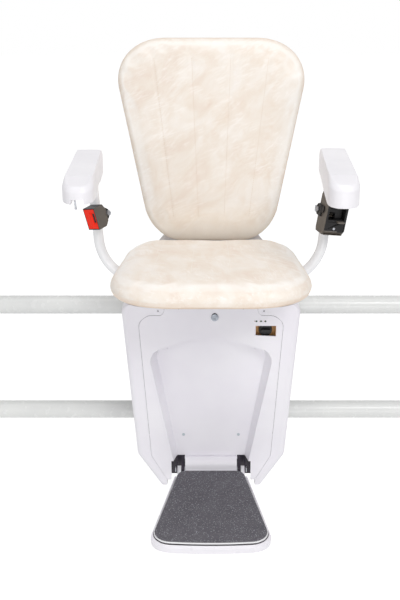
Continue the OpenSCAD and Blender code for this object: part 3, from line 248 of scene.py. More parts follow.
BACK_LEAN = 10
BACK_OUT = (0, -0.985, 0.174)
MATERIALS = {
    "cover": plastic("cover_white", (234, 231, 238), (240, 238, 243), 0.36),
    "paint": plastic("white_paint", (238, 238, 240), (244, 244, 246), 0.22, 240, 0.00006),
    "rail": plastic("rail_paint", (221, 222, 221), (229, 230, 228), 0.24, 300, 0.00006),
    "arm": plastic("armrest_white", (232, 230, 235), (239, 237, 241), 0.34, 700),
    "black": plastic("black_plastic", (14, 13, 14), (25, 24, 25), 0.4, 700, Specular_IOR_Level=0.3),
    "taupe": plastic("housing_plastic", (74, 68, 62), (98, 91, 83), 0.38, 800),
    "rubber": plastic("black_rubber", (22, 22, 23), (36, 36, 37), 0.7, 500, 0.0002),
    "red": plastic("button_red", (240, 38, 14), (250, 48, 20), 0.42, 700, Specular_IOR_Level=0.2),
    "screw_pale": plastic("screw_pale", (178, 186, 194), (196, 204, 210), 0.3, 400),
    "tan": plastic("switch_tan", (212, 158, 98), (232, 182, 120), 0.5, 500),
    # Painted shade: the footrest hangers are dark plum, standing for the shade inside the cutouts round the
    # footrest hinge.
    "plum_painted_shade": plastic("hanger_painted_shade", (34, 27, 40), (48, 39, 54), 0.4, 500),
    "board": plastic("board_green", (16, 66, 36), (24, 88, 48), 0.4, 300),
    "pan": plastic("pan_white", (232, 229, 235), (240, 238, 243), 0.3, 700),
    "chassis": plastic("chassis_black", (36, 36, 38), (52, 52, 55), 0.4, 260, 0.0002),
    "zinc": metal("zinc_steel", (150, 152, 158), (186, 188, 193), 0.32),
    "cast": metal("cast_housing", (118, 122, 128), (150, 153, 158), 0.48),
    "rack": metal("rack_steel", (126, 126, 130), (158, 158, 160), 0.34),
    "lock": metal("lock_steel", (112, 116, 123), (146, 150, 157), 0.34),
    # The last value of each vinyl is the height band of its painted light low down, or None.
    "vinyl_back": vinyl("vinyl_back", BACK_OUT, ((0.0, 0.75, 0.0), (0.0, 1.2, 0.0)), 0, 0.7, (0.44, 0.34)),
    "vinyl_seat": vinyl("vinyl_seat", (0, 0, 1), ((1.3, 0.9, 0.0), (1.5, 0.2, 1.0)), 5, 0.0, None),
    "mat": speckled("grip_mat"),
    "thread": plastic("thread", (208, 186, 164), (222, 202, 182), 0.6, 900),
    "pale_thread": plastic("pale_thread", (246, 240, 232), (252, 247, 240), 0.6, 900),
    "lamp_green": plastic("lamp_green", (22, 50, 30), (38, 72, 44), 0.3, 300),
    "lamp_red": plastic("lamp_red", (196, 172, 172), (214, 188, 186), 0.2, 300),
}


# Mesh helpers, with bevel widths in millimetres and angles in degrees
def finish_mesh(o, mat, sharp):
    """Turns the faces outward, shades them smooth up to an angle and gives them a material."""
    bm = bmesh.new()
    bm.from_mesh(o.data)
    bmesh.ops.recalc_face_normals(bm, faces=bm.faces)
    bm.to_mesh(o.data)
    bm.free()
    for p in o.data.polygons:
        p.use_smooth = True
    o.data.set_sharp_from_angle(angle=math.radians(sharp))
    o.data.materials.clear()
    o.data.materials.append(MATERIALS[mat])


def new_object(name, verts, faces, mat, sharp=35, scale=1.0):
    me = bpy.data.meshes.new(name)
    me.from_pydata([tuple(c * scale for c in v) for v in verts], [], faces)
    me.validate()
    o = bpy.data.objects.new(name, me)
    bpy.context.scene.collection.objects.link(o)
    finish_mesh(o, mat, sharp)
    return o


def apply(o, modifier):
    bpy.context.view_layer.objects.active = o
    bpy.ops.object.select_all(action="DESELECT")
    o.select_set(True)
    bpy.ops.object.modifier_apply(modifier=modifier.name)


def bevel(o, width, angle=30):
    """Breaks the edges that are sharper than the angle."""
    b = o.modifiers.new("bevel", "BEVEL")
    b.width = width * MM
    b.segments = 2
    b.harden_normals = False
    b.limit_method = "ANGLE"
    b.angle_limit = math.radians(angle)
    b.miter_outer = "MITER_ARC"
    w = o.modifiers.new("normals", "WEIGHTED_NORMAL")
    w.keep_sharp = True


def cut_box(o, low, high):
    """Takes a box between two corners out of a piece that isn't placed yet."""
    bpy.ops.mesh.primitive_cube_add(size=1)
    c = bpy.context.object
    c.scale = Vector([(b - a) * MM for a, b in zip(low, high)])
    c.location = Vector([(b + a) / 2 * MM for a, b in zip(low, high)])
    bpy.context.view_layer.update()
    m = o.modifiers.new("cut", "BOOLEAN")
    m.object = c
    m.operation = "DIFFERENCE"
    m.solver = "EXACT"
    apply(o, m)
    bpy.data.objects.remove(c)


def dressed(node, mat, width, warp=None):
    """The CAD node's own shape with its edges broken, as moulded or machined."""
    weld, flat = 1e-5, 0.4
    src = frame["nodes"][node]
    o = bpy.data.objects.new(node + "_dressed", src.data.copy())
    bpy.context.scene.collection.objects.link(o)
    o.matrix_world = src.matrix_world
    bm = bmesh.new()
    bm.from_mesh(o.data)
    bmesh.ops.remove_doubles(bm, verts=bm.verts, dist=weld)
    bm.normal_update()
    if warp:
        for v, side in [(v, v.normal.copy()) for v in bm.verts]:
            warp(v.co, side)
    bmesh.ops.dissolve_limit(bm, angle_limit=math.radians(flat), verts=bm.verts, edges=bm.edges)
    bm.to_mesh(o.data)
    bm.free()
    finish_mesh(o, mat, 50)
    bevel(o, width)
    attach(o, BODY_OF[node])
    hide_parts(node)
    return o


def paint(node, mat):
    o = frame["nodes"][node]
    o.data.materials.clear()
    o.data.materials.append(MATERIALS[mat])
    for p in o.data.polygons:
        p.material_index = 0


def tint(o, mat, test):
    """Gives the faces that pass the test one more material."""
    o.data.materials.append(MATERIALS[mat])
    for p in o.data.polygons:
        if test(p):
            p.material_index = len(o.data.materials) - 1


# Camera, light and floor
LOOK_DOWN = 21
camera = bpy.data.objects.new("camera", bpy.data.cameras.new("camera"))
bpy.context.scene.collection.objects.link(camera)
camera.location = (0, -2.512, 1.0576)
camera.rotation_euler = (math.radians(90 - LOOK_DOWN), 0, 0)
camera.data.lens = 57.0
camera.data.sensor_width = 36.0
camera.data.shift_x = -0.0183
camera.data.clip_end = 50
bpy.context.scene.camera = camera
bpy.context.scene.view_settings.view_transform = "Standard"


def seen(tree, lit, shown):
    """A strength that is `shown` for camera, mirror and glass rays and `lit` for the rest."""
    rays = tree.nodes.new("ShaderNodeLightPath")
    total = rays.outputs["Is Camera Ray"]
    for name in ("Is Glossy Ray", "Is Transmission Ray"):
        m = tree.nodes.new("ShaderNodeMath")
        m.operation = "MAXIMUM"
        tree.links.new(total, m.inputs[0])
        tree.links.new(rays.outputs[name], m.inputs[1])
        total = m.outputs[0]
    n = tree.nodes.new("ShaderNodeMapRange")
    n.inputs["To Min"].default_value = lit
    n.inputs["To Max"].default_value = shown
    tree.links.new(total, n.inputs["Value"])
    return n.outputs["Result"]


def area_light(name, at, aim, size, power):
    light = bpy.data.lights.new(name, "AREA")
    light.shape = "RECTANGLE"
    light.size, light.size_y = size
    light.energy = power
    o = bpy.data.objects.new(name, light)
    o.location = at
    o.rotation_euler = (Vector(aim) - Vector(at)).to_track_quat("-Z", "Y").to_euler()
    bpy.context.scene.collection.objects.link(o)


def studio():
    """White surroundings, four lamps and a pale floor that only the camera sees as lit."""
    world = bpy.data.worlds.new("studio")
    bpy.context.scene.world = world
    world.use_nodes = True
    background = world.node_tree.nodes["Background"]
    background.inputs["Color"].default_value = (1, 1, 1, 1)
    world.node_tree.links.new(seen(world.node_tree, 0.5, 1.0), background.inputs["Strength"])
    area_light("key", (1.3, -2.7, 2.5), (0, -0.4, 0.2), (1.3, 1.0), 36)
    area_light("fill", (-2.2, -2.5, 1.0), (0, -0.4, 0.1), (1.8, 1.8), 11)
    area_light("low", (0.4, -3.0, -0.15), (0, -0.4, -0.1), (1.4, 0.6), 8.5)
    area_light("top", (0, -0.7, 3.0), (0, -0.4, 0.2), (2.4, 1.4), 18)
    p = Paint("floor", 0.9)
    p.color(p.ramp(p.noise(3, 2), [(0.3, (0.93, 0.93, 0.93, 1)), (0.7, (0.95, 0.95, 0.95, 1))]))
    p.shader.inputs["Emission Color"].default_value = (1, 1, 1, 1)
    p.link(seen(p.tree, 0.0, 0.55), p.shader.inputs["Emission Strength"])
    MATERIALS["floor"] = p.mat
    height, side, far = -0.62, 9, 12
    corners = [(-side, -side, height), (side, -side, height), (side, far, height), (-side, far, height)]
    ground = new_object("floor", corners, [(0, 1, 2, 3)], "floor")


studio()


# Cushions, in millimetres until they are placed
SEAM_SHARES = (-0.575, -0.195, 0.195, 0.575)
SHRINK = 1.0
VOXEL = 0.0055
PUFF = 0.0035
PINNED = 0.004
STITCH_STEP = 5.2
STITCH_LENGTH = 3.4
WELT_RADIUS = 1.3
HINGE_Z = 0.294
FOLDED_SLOPE = 0.2127
SEAT_REAR = -0.2542
BACK_FRONT = -0.1975
CLEAR_BLEND = 0.008


def seat_clear(co):
    """Keeps the folded seat clear of the frame behind it."""
    return Vector((co.x, min(co.y, SEAT_REAR + FOLDED_SLOPE * (co.z - HINGE_Z)), co.z))


def back_clear(co):
    """Keeps the backrest's lower edge behind the folded seat."""
    limit = BACK_FRONT - FOLDED_SLOPE * (co.z - HINGE_Z)
    blend = max(CLEAR_BLEND - abs(co.y - limit), 0)
    return Vector((co.x, max(co.y, limit) + blend * blend / (4 * CLEAR_BLEND), co.z))


def corner_inset(e, size):
    """How far an elliptical corner, (across, along), draws in at a distance e from the end."""
    across, along = size
    return 0 if e >= along else across * (1 - math.sqrt(max(0, 1 - ((along - e) / along) ** 2)))


class Cushion:
    """A padded cushion in its own plane: x across, y along from its near edge, z out of the seat.

    widths, near and far are the two widths and the two pairs of corner sizes, thick the height
    at its shoulder, crown its rise in the middle, tuck the draw of its underside, lines the start
    and end of its seams, and rounder is 1 where the shoulder softens towards the far end.
    """

    def __init__(self, name, node, body, vinyl, thread, place, clear, length, widths, near, far,
                 thick, crown, tuck, lines, rounder):
        self.name, self.node, self.body = name, node, body
        self.vinyl, self.thread = vinyl, thread
        self.place, self.clear = place, clear
        self.length, self.widths, self.near, self.far = length, widths, near, far
        self.thick, self.crown, self.tuck = thick, crown, tuck
        self.lines, self.rounder = lines, rounder
        self.mid = Vector((0, length / 2))
        self.reach = min(widths[1], length) / 2

    def half(self, d):
        w = self.widths[0] / 2 + (self.widths[1] - self.widths[0]) / 2 * d / self.length
        return w - corner_inset(d, self.near) - corner_inset(self.length - d, self.far)

    def outline(self, count):
        """The plan's edge, as points with even steps."""
        steps = [self.length * (1 - math.cos(math.pi * i / 160)) / 2 for i in range(161)]
        right = [Vector((self.half(d), d)) for d in steps]
        ring = right + [Vector((-p.x, p.y)) for p in reversed(right)]
        walk = [0.0]
        for a, b in zip(ring, ring[1:] + ring[:1]):
            walk.append(walk[-1] + (b - a).length)
        out, k = [], 0
        for n in range(count):
            s = walk[-1] * n / count
            while walk[k + 1] < s:
                k += 1
            a, b = ring[k % len(ring)], ring[(k + 1) % len(ring)]
            span = walk[k + 1] - walk[k]
            out.append(a.lerp(b, (s - walk[k]) / span if span else 0))
        return out

    def inward(self, p, depth):
        return self.mid + (p - self.mid) * (1 - depth / self.reach)

    def rise(self, x, y):
        v = y / self.length * 2 - 1
        u = x / max(self.half(limited(y, 4, self.length - 4)), 30)
        u, v = limited(u, -1), limited(v, -1)
        return self.crown * (1 - abs(u) ** 3) * (1 - abs(v) ** 3)

    def profile(self, share):
        """Depth and height from the underside over the shoulder to the middle, and the shoulder's depth."""
        soft = self.rounder * ramp(share, 0.5, 0.95)
        fall, draw = 17 + 13 * soft, 24 + 16 * soft
        foot = ((1.1, 0), (0.85, 1.2), (0.34, 5.0), (0.08, 0.3 * self.thick))
        column = [(self.tuck * share_in, z) for share_in, z in foot]
        column += [(0, (self.thick - fall + 0.3 * self.thick) / 2), (0.6, self.thick - fall)]
        for degrees in (20, 38, 54, 68, 80, 90):
            a = math.radians(degrees)
            column.append((0.6 + draw * (1 - math.cos(a)), self.thick - fall + fall * math.sin(a)))
        column += [(draw + 1 + (self.reach - draw - 2) * k / 26, self.thick) for k in range(27)]
        return column, draw

    def base(self):
        """The plain form before it is softened."""
        edge = self.outline(220)
        columns = []
        for p in edge:
            profile, draw = self.profile(p.y / self.length)
            column = []
            for depth, z in profile:
                q = self.inward(p, depth + SHRINK)
                lift = self.rise(q.x, q.y) if depth > draw else 0
                column.append((q.x, q.y, z + lift * limited((depth - draw) / 22)))
            columns.append(column)
        n, rings = len(edge), len(columns[0])
        verts = [column[r] for r in range(rings) for column in columns]
        faces = [(r * n + k, r * n + (k + 1) % n, (r + 1) * n + (k + 1) % n, (r + 1) * n + k)
                 for r in range(rings - 1) for k in range(n)]
        verts += [(self.mid.x, self.mid.y, 0), (self.mid.x, self.mid.y, self.thick + self.crown)]
        faces += [((k + 1) % n, k, len(verts) - 2) for k in range(n)]
        last = (rings - 1) * n
        faces += [(last + k, last + (k + 1) % n, len(verts) - 1) for k in range(n)]
        return verts, faces

    def seams(self):
        """The first and last point of each line of stitches."""
        middle = self.half(self.length / 2) / (sum(self.widths) / 2)

        def across(share, d):
            return share * middle * (self.widths[0] + (self.widths[1] - self.widths[0]) * d / self.length)
        return [[Vector((across(share, d), d)) for d in self.lines] for share in SEAM_SHARES]

    def build(self):
        verts, faces = self.base()
        me = bpy.data.meshes.new(self.name)
        me.from_pydata([Vector(v) * MM for v in verts], [], faces)
        o = bpy.data.objects.new(self.name, me)
        bpy.context.scene.collection.objects.link(o)
        finish_mesh(o, self.vinyl, 180)
        self.swell(o)
        self.sew(o)
        self.fit(o)
        o.data.transform(self.place)
        for v in o.data.vertices:
            v.co = self.clear(v.co)
        finish_mesh(o, self.vinyl, 180)
        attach(o, self.body)
        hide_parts(self.node)
        for s in (self.stitches(o), self.welt()):
            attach(s, self.body)

    def swell(self, o):
        """Evens the faces, puffs them out and smooths them."""
        even = o.modifiers.new("remesh", "REMESH")
        even.mode = "VOXEL"
        even.voxel_size = VOXEL
        even.use_smooth_shade = True
        apply(o, even)
        self.puff(o)
        smooth = o.modifiers.new("smooth", "SMOOTH")
        smooth.factor = 0.5
        smooth.iterations = 4
        apply(o, smooth)
        fine = o.modifiers.new("fine", "SUBSURF")
        fine.levels = 1
        fine.render_levels = 1
        apply(o, fine)

    def puff(self, o):
        """A short cloth step under pressure, pinned at the underside and held to a few millimetres."""
        start = [v.co.copy() for v in o.data.vertices]
        pins = o.vertex_groups.new(name="pins")
        for v in o.data.vertices:
            pins.add([v.index], 1.0 if v.co.z < PINNED else 0.0, "REPLACE")
        cloth = o.modifiers.new("cloth", "CLOTH")
        cloth.settings.use_pressure = True
        cloth.settings.uniform_pressure_force = 4
        cloth.settings.vertex_group_mass = "pins"
        cloth.settings.tension_stiffness = 25
        cloth.settings.compression_stiffness = 25
        cloth.settings.bending_stiffness = 2
        cloth.settings.quality = 4
        cloth.settings.effector_weights.gravity = 0
        for f in range(1, 21):
            bpy.context.scene.frame_set(f)
        shaped = o.evaluated_get(bpy.context.evaluated_depsgraph_get()).to_mesh()
        moved = [v.co.copy() for v in shaped.vertices]
        o.modifiers.remove(cloth)
        for v, a, b in zip(o.data.vertices, start, moved):
            step = b - a
            if step.length > PUFF:
                step *= PUFF / step.length
            if a.z < 0.75 * PINNED:
                step.z = max(step.z, 0)
            v.co = a + step
        o.vertex_groups.clear()
        bpy.context.scene.frame_set(1)

    def sew(self, o):
        """Draws the surface in along the seams, puckers it at their ends and makes it uneven."""
        seams = self.seams()
        for v in o.data.vertices:
            x, y, z = (c / MM for c in v.co)
            if z < self.thick * 0.75:
                continue
            dip = 0.0
            for first, last in seams:
                at = first.lerp(last, limited((y - first.y) / (last.y - first.y)))
                off = math.hypot(x - at.x, y - at.y)
                dip += 0.7 * math.exp(-(off / 4.2) ** 2) + 0.2 * math.exp(-(off / 13) ** 2)
                for end in (first, last):
                    r = math.hypot(x - end.x, y - end.y)
                    a = math.atan2(y - end.y, x - end.x)
                    wave = math.sin(a * 9 + first.x * 0.3) * 0.5 + math.sin(a * 5 + end.x) * 0.5
                    dip += 0.28 * wave * math.exp(-((r - 24) / 16) ** 2)
            dip += 0.35 * (noise.noise(Vector((x / 70, y / 70, self.length))) - 0.1)
            v.co.z -= dip * MM

    def fit(self, o):
        """Gives back the width and length that remeshing and smoothing take off."""
        co = [v.co for v in o.data.vertices]
        wide = max(self.half(self.length * k / 60) for k in range(61)) * MM / max(abs(c.x) for c in co)
        low, high = min(c.y for c in co), max(c.y for c in co)
        long = self.length * MM / (high - low)
        for v in o.data.vertices:
            v.co.x *= wide
            v.co.y = (v.co.y - low) * long

    def stitches(self, o):
        """Short bowed threads along the seams, lying on the finished surface."""
        me = o.data
        tree = BVHTree.FromPolygons([v.co for v in me.vertices], [p.vertices for p in me.polygons])
        up = (self.place.to_3x3() @ Vector((0, 0, 1))).normalized()
        above, end_sink, bow, sides = 40, 0.0004, 0.00025, 6
        end_radius, mid_radius = 0.00025, 0.00055

        def on_surface(q):
            start = self.place @ (Vector((q.x, q.y, self.thick + above)) * MM)
            return tree.ray_cast(start, -up)[0] or start

        verts, faces = [], []
        for first, last in self.seams():
            run = last - first
            for k in range(int(run.length / STITCH_STEP)):
                a = first + run * (k / int(run.length / STITCH_STEP))
                b = a + run.normalized() * STITCH_LENGTH
                points = [on_surface(a) - up * end_sink, on_surface((a + b) / 2) + up * bow,
                          on_surface(b) - up * end_sink]
                across = (points[2] - points[0]).normalized().cross(up).normalized()
                start = len(verts)
                for q, r in zip(points, (end_radius, mid_radius, end_radius)):
                    for j in range(sides):
                        t = 2 * math.pi * j / sides
                        verts.append(q + (across * math.cos(t) + up * math.sin(t)) * r)
                faces += [(start + i + j, start + i + (j + 1) % sides,
                           start + i + sides + (j + 1) % sides, start + i + sides + j)
                          for i in (0, sides) for j in range(sides)]
                faces.append(tuple(start + j for j in range(sides - 1, -1, -1)))
                faces.append(tuple(start + 2 * sides + j for j in range(sides)))
        return new_object(self.name + "_stitches", verts, faces, self.thread, 180)

    def welt(self):
        """The folded edge of the cover along the cushion's underside."""
        edge = self.outline(260)
        sides, height = 8, 1.9
        verts = []
        for p in edge:
            for j in range(sides):
                t = 2 * math.pi * j / sides
                q = self.inward(p, self.tuck * 0.62 - WELT_RADIUS * math.cos(t))
                at = Vector((q.x, q.y, height + WELT_RADIUS * math.sin(t)))
                verts.append(self.clear(self.place @ (at * MM)))
        faces = []
        for k in range(len(edge)):
            here, there = k * sides, (k + 1) % len(edge) * sides
            faces += [(here + j, here + (j + 1) % sides, there + (j + 1) % sides, there + j)
                      for j in range(sides)]
        return new_object(self.name + "_welt", verts, faces, self.vinyl, 180)


Cushion(name="seat_pad", node="seat_cushion", body="seat", vinyl="vinyl_seat", thread="pale_thread",
        place=shifted(0, -236, 304) @ turned(180, "Z"), clear=seat_clear,
        length=377, widths=(386, 482), near=(66, 105), far=(152, 121),
        thick=47, crown=4, tuck=13, lines=(34, 280), rounder=1).build()
Cushion(name="backrest_pad", node="backrest_cushion", body="chair", vinyl="vinyl_back", thread="thread",
        place=shifted(0, -215, 341) @ turned(90 - BACK_LEAN, "X") @ shifted(0.7, -6, -34), clear=back_clear,
        length=499.5, widths=(302, 507), near=(77, 85), far=(144, 125),
        thick=34, crown=6, tuck=9, lines=(64, 452), rounder=0).build()


# Armrests
class Armrest:
    """A moulded armrest: a flat top with a sloping front, a soft band round it and plain sides."""

    rear, front, tip, crease = 21.0, -306.0, 40.0, -245.0
    corner, depth, yaw, sharp = 5, 55, 2.1, 32
    pivot_x, pivot_y, pivot_z = 287, -310, 557

    def __init__(self, name, side, node, nose, notch, roof):
        self.name, self.side, self.node = name, side, node
        self.nose, self.notch, self.roof = nose, notch, roof

    def half(self, y):
        return 31.2 + 2.2 * (self.rear - y) / (self.rear - self.front)

    def top(self, y):
        return self.roof - 11.5 * max(0.0, (self.crease - y) / 61)

    def bottom(self, y):
        return self.roof - self.depth + (self.depth - self.nose) * ramp(-y, 60, 155)

    def plan(self):
        """The outline seen from above: rounded rear corners, straight sides, a blunt tip."""
        first, last = self.rear - 7, self.front + self.tip
        stations = [first + (last - first) * k / 30 for k in range(1, 31)]
        stations = sorted(stations + [self.crease + 1.5, self.crease - 1.5], reverse=True)
        inner = self.half(self.rear) - self.corner
        right = []
        for k in range(8):
            a = math.pi / 2 * k / 7
            x = inner + self.corner * math.sin(a)
            right.append((x, self.rear - self.corner + self.corner * math.cos(a)))
        right += [(self.half(y), y) for y in stations]
        for k in range(1, 15):
            a = math.pi / 2 * k / 14
            x = self.half(last) * math.cos(a) ** 0.8 if k < 14 else 0.0
            right.append((x, last - self.tip * math.sin(a) ** 0.92))
        return right + [(-x, y) for x, y in reversed(right[:-1])]

    def drawn(self, x, y, depth):
        """A point of the plan moved in by a depth, most of all at the front."""
        wide = self.half(y)
        front, rear = limited((-215 - y) / 60), limited((y - 6) / 14)
        return x * (1 - depth / wide), y + depth * front * (1 - abs(x) / wide * 0.35) - depth * 0.5 * rear

    def shape(self):
        plan = self.plan()
        verts = []
        for f, drop in ((1.0, 0.0), (0.9, 0.25), (0.6, 1.9), (0.32, 4.4), (0.12, 7.2), (0.0, 10.0)):
            for x, y in plan:
                band = 3.2 + 5.5 * limited((-215 - y) / 80)
                px, py = self.drawn(x, y, f * band)
                verts.append((px, py, self.top(py) - drop))
        for f in (0.04, 0.35, 0.7, 1.0):
            for x, y in plan:
                px, py = self.drawn(x, y, -0.5)
                side_top = self.top(y) - 10.0
                verts.append((px, py, side_top + (self.bottom(y) + 2.5 - side_top) * f))
        for depth, lift in ((0.6, 0.7), (2.4, 0.0)):
            for x, y in plan:
                px, py = self.drawn(x, y, depth)
                verts.append((px, py, self.bottom(y) + lift))
        n = len(plan)
        last = (len(verts) // n - 1) * n
        faces = [(r + k, r + (k + 1) % n, r + n + (k + 1) % n, r + n + k)
                 for r in range(0, last, n) for k in range(n)]
        for r in (0, last):
            for k in range((n - 1) // 2):
                ring = list(dict.fromkeys((r + k, r + k + 1, r + n - 2 - k, r + n - 1 - k)))
                faces.append(tuple(ring if r else ring[::-1]))
        return verts, faces

    def build(self):
        o = new_object(self.name, *self.shape(), "arm", self.sharp, MM)
        cut_box(o, (-14, -25, -40), (14, 60, 18))
        if self.notch:
            front = self.front
            cut_box(o, (-13, front - 5, -40), (13, front + 96, self.roof - self.nose + 11))
            cut_box(o, (-5, front + 18, -40), (5, front + 26, 10))
        place = shifted(self.side * self.pivot_x, self.pivot_y, self.pivot_z)
        o.data.transform(place @ turned(self.side * -self.yaw, "Z"))
        finish_mesh(o, "arm", self.sharp)
        bevel(o, 0.6, 40)
        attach(o, BODY_OF[self.node])
        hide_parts(self.node)


Armrest("armrest_left_shell", -1, "armrest_left", nose=47, notch=True, roof=28.5).build()
Armrest("armrest_right_shell", 1, "armrest_right", nose=59, notch=False, roof=32.0).build()


# Belt buckle and reel, in millimetres of their own axes
def along(axis, t, u, v):
    """A point with t along an axis and u, v along the two others."""
    return {"x": (t, u, v), "y": (u, t, v), "z": (u, v, t)}[axis]


def prism(name, outline, low, high, mat, body, place, width=0.6, axis="x"):
    """An outline drawn in two of the local axes, pushed along the third, with broken edges."""
    verts = [along(axis, t, *p) for t in (low, high) for p in outline]
    n = len(outline)
    faces = [tuple(range(n)), tuple(range(2 * n - 1, n - 1, -1))]
    faces += [(k, (k + 1) % n, n + (k + 1) % n, n + k) for k in range(n)]
    o = new_object(name, verts, faces, mat, 30, MM)
    o.data.transform(place)
    finish_mesh(o, mat, 30)
    bevel(o, width, 25)
    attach(o, body)
    return o


def rect(a0, b0, a1, b1):
    return [(a0, b0), (a1, b0), (a1, b1), (a0, b1)]


def peg(name, at, radius, length, mat, body, place, axis="y", sides=24, dome=0.25, hollow=0.0):
    """A round head with a domed or hollowed end, along a local axis, its face on the low side."""
    rings = [(radius, length), (radius, dome * radius), (radius * 0.86, dome * radius * 0.35),
             (radius * 0.55, 0.0)]
    if hollow:
        rings += [(radius * 0.5, 0.02), (radius * 0.42, hollow), (radius * 0.05, hollow)]
    else:
        rings += [(radius * 0.05, -0.02)]
    verts, faces = [], []
    for r, t in rings:
        for k in range(sides):
            a = 2 * math.pi * k / sides
            offset = along(axis, t, r * math.cos(a), r * math.sin(a))
            verts.append(tuple(c + d for c, d in zip(at, offset)))
    for r in range(len(rings) - 1):
        here, there = r * sides, (r + 1) * sides
        faces += [(here + k, here + (k + 1) % sides, there + (k + 1) % sides, there + k)
                  for k in range(sides)]
    faces += [tuple(range(sides)), tuple(len(verts) - 1 - k for k in range(sides))]
    o = new_object(name, verts, faces, mat, 40, MM)
    o.data.transform(place)
    finish_mesh(o, mat, 40)
    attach(o, body)
    return o


def belt_place(side, z, stand, lean, yaw, out):
    """A place beside an arm tube, which leans inward below the armrest."""
    arm_x, arm_y, arm_z, tube_lean, lift = 284, -310, 557, 3.8, 4
    x = arm_x - (arm_z - z) * math.tan(math.radians(tube_lean))
    return (shifted(out, 0, lift) @ shifted(side * x, arm_y - stand, z)
            @ turned(lean, "Y") @ turned(yaw, "Z"))


EAR = [(24, -14), (31, -6), (31, 7), (24, 14)]


def build_buckle():
    place = belt_place(-1, 434, stand=40.5, lean=-14, yaw=-38, out=5)
    outline = [(-17, -26.5), (8, -26.5), (18, -16), (20, 12), (12, 26.5), (-17, 26.5)]
    shell = prism("buckle_shell", outline, -18.6, 18.6, "black", "chair", Matrix())
    cut_box(shell, (-16.8, -20, -24.3), (16.8, -1.6, 24.3))
    tint(shell, "taupe", lambda p: abs(p.normal.x) > 0.7 and p.center.x > 18.0 * MM)
    shell.data.transform(place)
    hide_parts("buckle_housing")
    button = prism("buckle_press", rect(-16.5, -24, 16.5, 24), -17.4, -6.4, "red", "buckle_button",
                   Matrix(), 0.8, "y")
    cut_box(button, (8.2, -20, -9), (15.2, -9, 14))
    button.data.transform(place)
    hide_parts("buckle_button")
    outline = [(-3.5, 15), (-5.0, -13), (-1.0, -18.5), (5.0, -16), (7.6, -9), (6.6, 11), (1.5, 16)]
    prism("buckle_ridge", outline, -19.0, -17.2, "red", "buckle_button", place, 0.9, "y")
    prism("buckle_slot", rect(8.6, -8.6, 14.8, 13.6), -16.8, -16.0, "black", "buckle_button", place, 0.3, "y")
    prism("buckle_ear", [(6, -14)] + EAR + [(6, 14)], 9, 15, "black", "chair", place, 1.5)
    peg("buckle_bolt", (23, 22, 1), 6.4, -6, "zinc", "chair", place, axis="x", sides=6, dome=0.1)


def build_reel():
    place = belt_place(1, 446, stand=42.5, lean=9, yaw=18, out=11)
    outline = [(-23, -40), (-13, -52), (20, -52), (23, -44), (23, 38), (12, 54), (-14, 54), (-23, 44)]
    case = prism("reel_case", outline, -27, 27, "black", "chair", Matrix(), 1.4)
    cut_box(case, (-21, -30, -18), (21, 8.2, 38))
    cut_box(case, (9, -24, -47), (24, -19.5, -19))

    def outer_or_lower(p):
        outer = abs(p.normal.x) > 0.7 and p.center.x < -26.4 * MM
        return outer or p.normal.y < -0.4 and p.normal.z < -0.3

    tint(case, "taupe", outer_or_lower)
    case.data.transform(place)
    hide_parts("belt_reel")
    guard = [(-8, -17.5), (-6, 30), (6.5, 34), (7.5, -17.5)]
    prism("reel_drum_guard", guard, 1.5, 20.6, "black", "chair", place, 2)
    ledge = [(-22.5, -17.9), (-22.5, -13.5), (-14, -12), (-14, -17.9)]
    prism("reel_ledge", ledge, -20.8, 20.8, "black", "chair", place, 1)
    for k in range(7):
        foot = -10 + 5.2 * k
        tooth = [(-1.5, foot), (-1.5, foot + 2.4), (-6.5, foot + 1.2)]
        prism("reel_tooth_%d" % k, tooth, -16, -3, "taupe", "chair", place, 0.4)
    blade = [(1, -17.8), (1, -14.8), (19, -14.8), (19, -17.8)]
    tongue = prism("reel_tongue", blade, -31, -10.4, "taupe", "chair", place, 0.9, "y")
    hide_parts("belt_tongue")
    lip = [(1.5, -18.6), (1.5, -14.2), (18.5, -14.2), (18.5, -18.6)]
    prism("reel_tongue_lip", lip, -32.4, -30.4, "taupe", "chair", place, 1.2, "y")
    prism("reel_ear", [(4, -14)] + EAR + [(4, 14)], -31, -26, "black", "chair", place, 1.5)
    peg("reel_bolt", (-34, 20, 0), 6.4, 6, "zinc", "chair", place, axis="x", sides=6, dome=0.1)
    peg("reel_screw", (-1.5, -23.9, -34), 3.2, 1.2, "zinc", "chair", place, dome=0.3, hollow=0.5)
    prism("reel_base_plate", rect(-24, -20, 24, 20), -51.2, -50, "taupe", "chair", place, 0.5, "z")


build_buckle()
build_reel()


# Small changes to the dressed nodes' shapes, in metres
def cover_shape(co, side):
    """The covers' tight top edge, lifted arch, full sides and the low tips of the feet."""
    front, edge, tightening = -0.398, 0.014, 0.65
    arch_lift, fullness, foot_drop = 0.0025, 0.0047, 0.008
    depth = co.y - front
    if co.z > 0.2 and depth < edge:
        inset = edge - math.sqrt(max(0, edge ** 2 - (edge - depth) ** 2))
        co.z += tightening * inset * min(1, (co.z - 0.2) / 0.02)
    if abs(co.x) < 0.145 and co.y < -0.36:
        co.z += arch_lift * ramp(co.z, 0.09, 0.11) * (1 - ramp(co.z, 0.155, 0.175))
    co.x += math.copysign(fullness * ramp(abs(co.x), 0.14, 0.2), co.x)
    co.z -= foot_drop * ramp(-co.z, 0.19, 0.258)


def pan_shape(co, side):
    """Draws the pan in under the plate's sides, fills out its front and widens its lip."""
    middle_y, lip, narrowing, widening, reach, drop = -0.6, 0.0025, 0.036, 0.02, 0.0025, 0.004
    wide, narrow = ramp(-co.y, 0.64, 0.72), ramp(-co.y, 0.44, 0.48)
    out = Vector((co.x, co.y - middle_y))
    if out.x * side.x + out.y * side.y < 0 and co.y < -0.46:
        co.x -= out.x / out.length * lip
        co.y -= out.y / out.length * lip
        return
    co.x *= 1 - narrowing * narrow * (1 - wide) + widening * wide
    co.y -= reach * wide
    co.z -= drop * wide


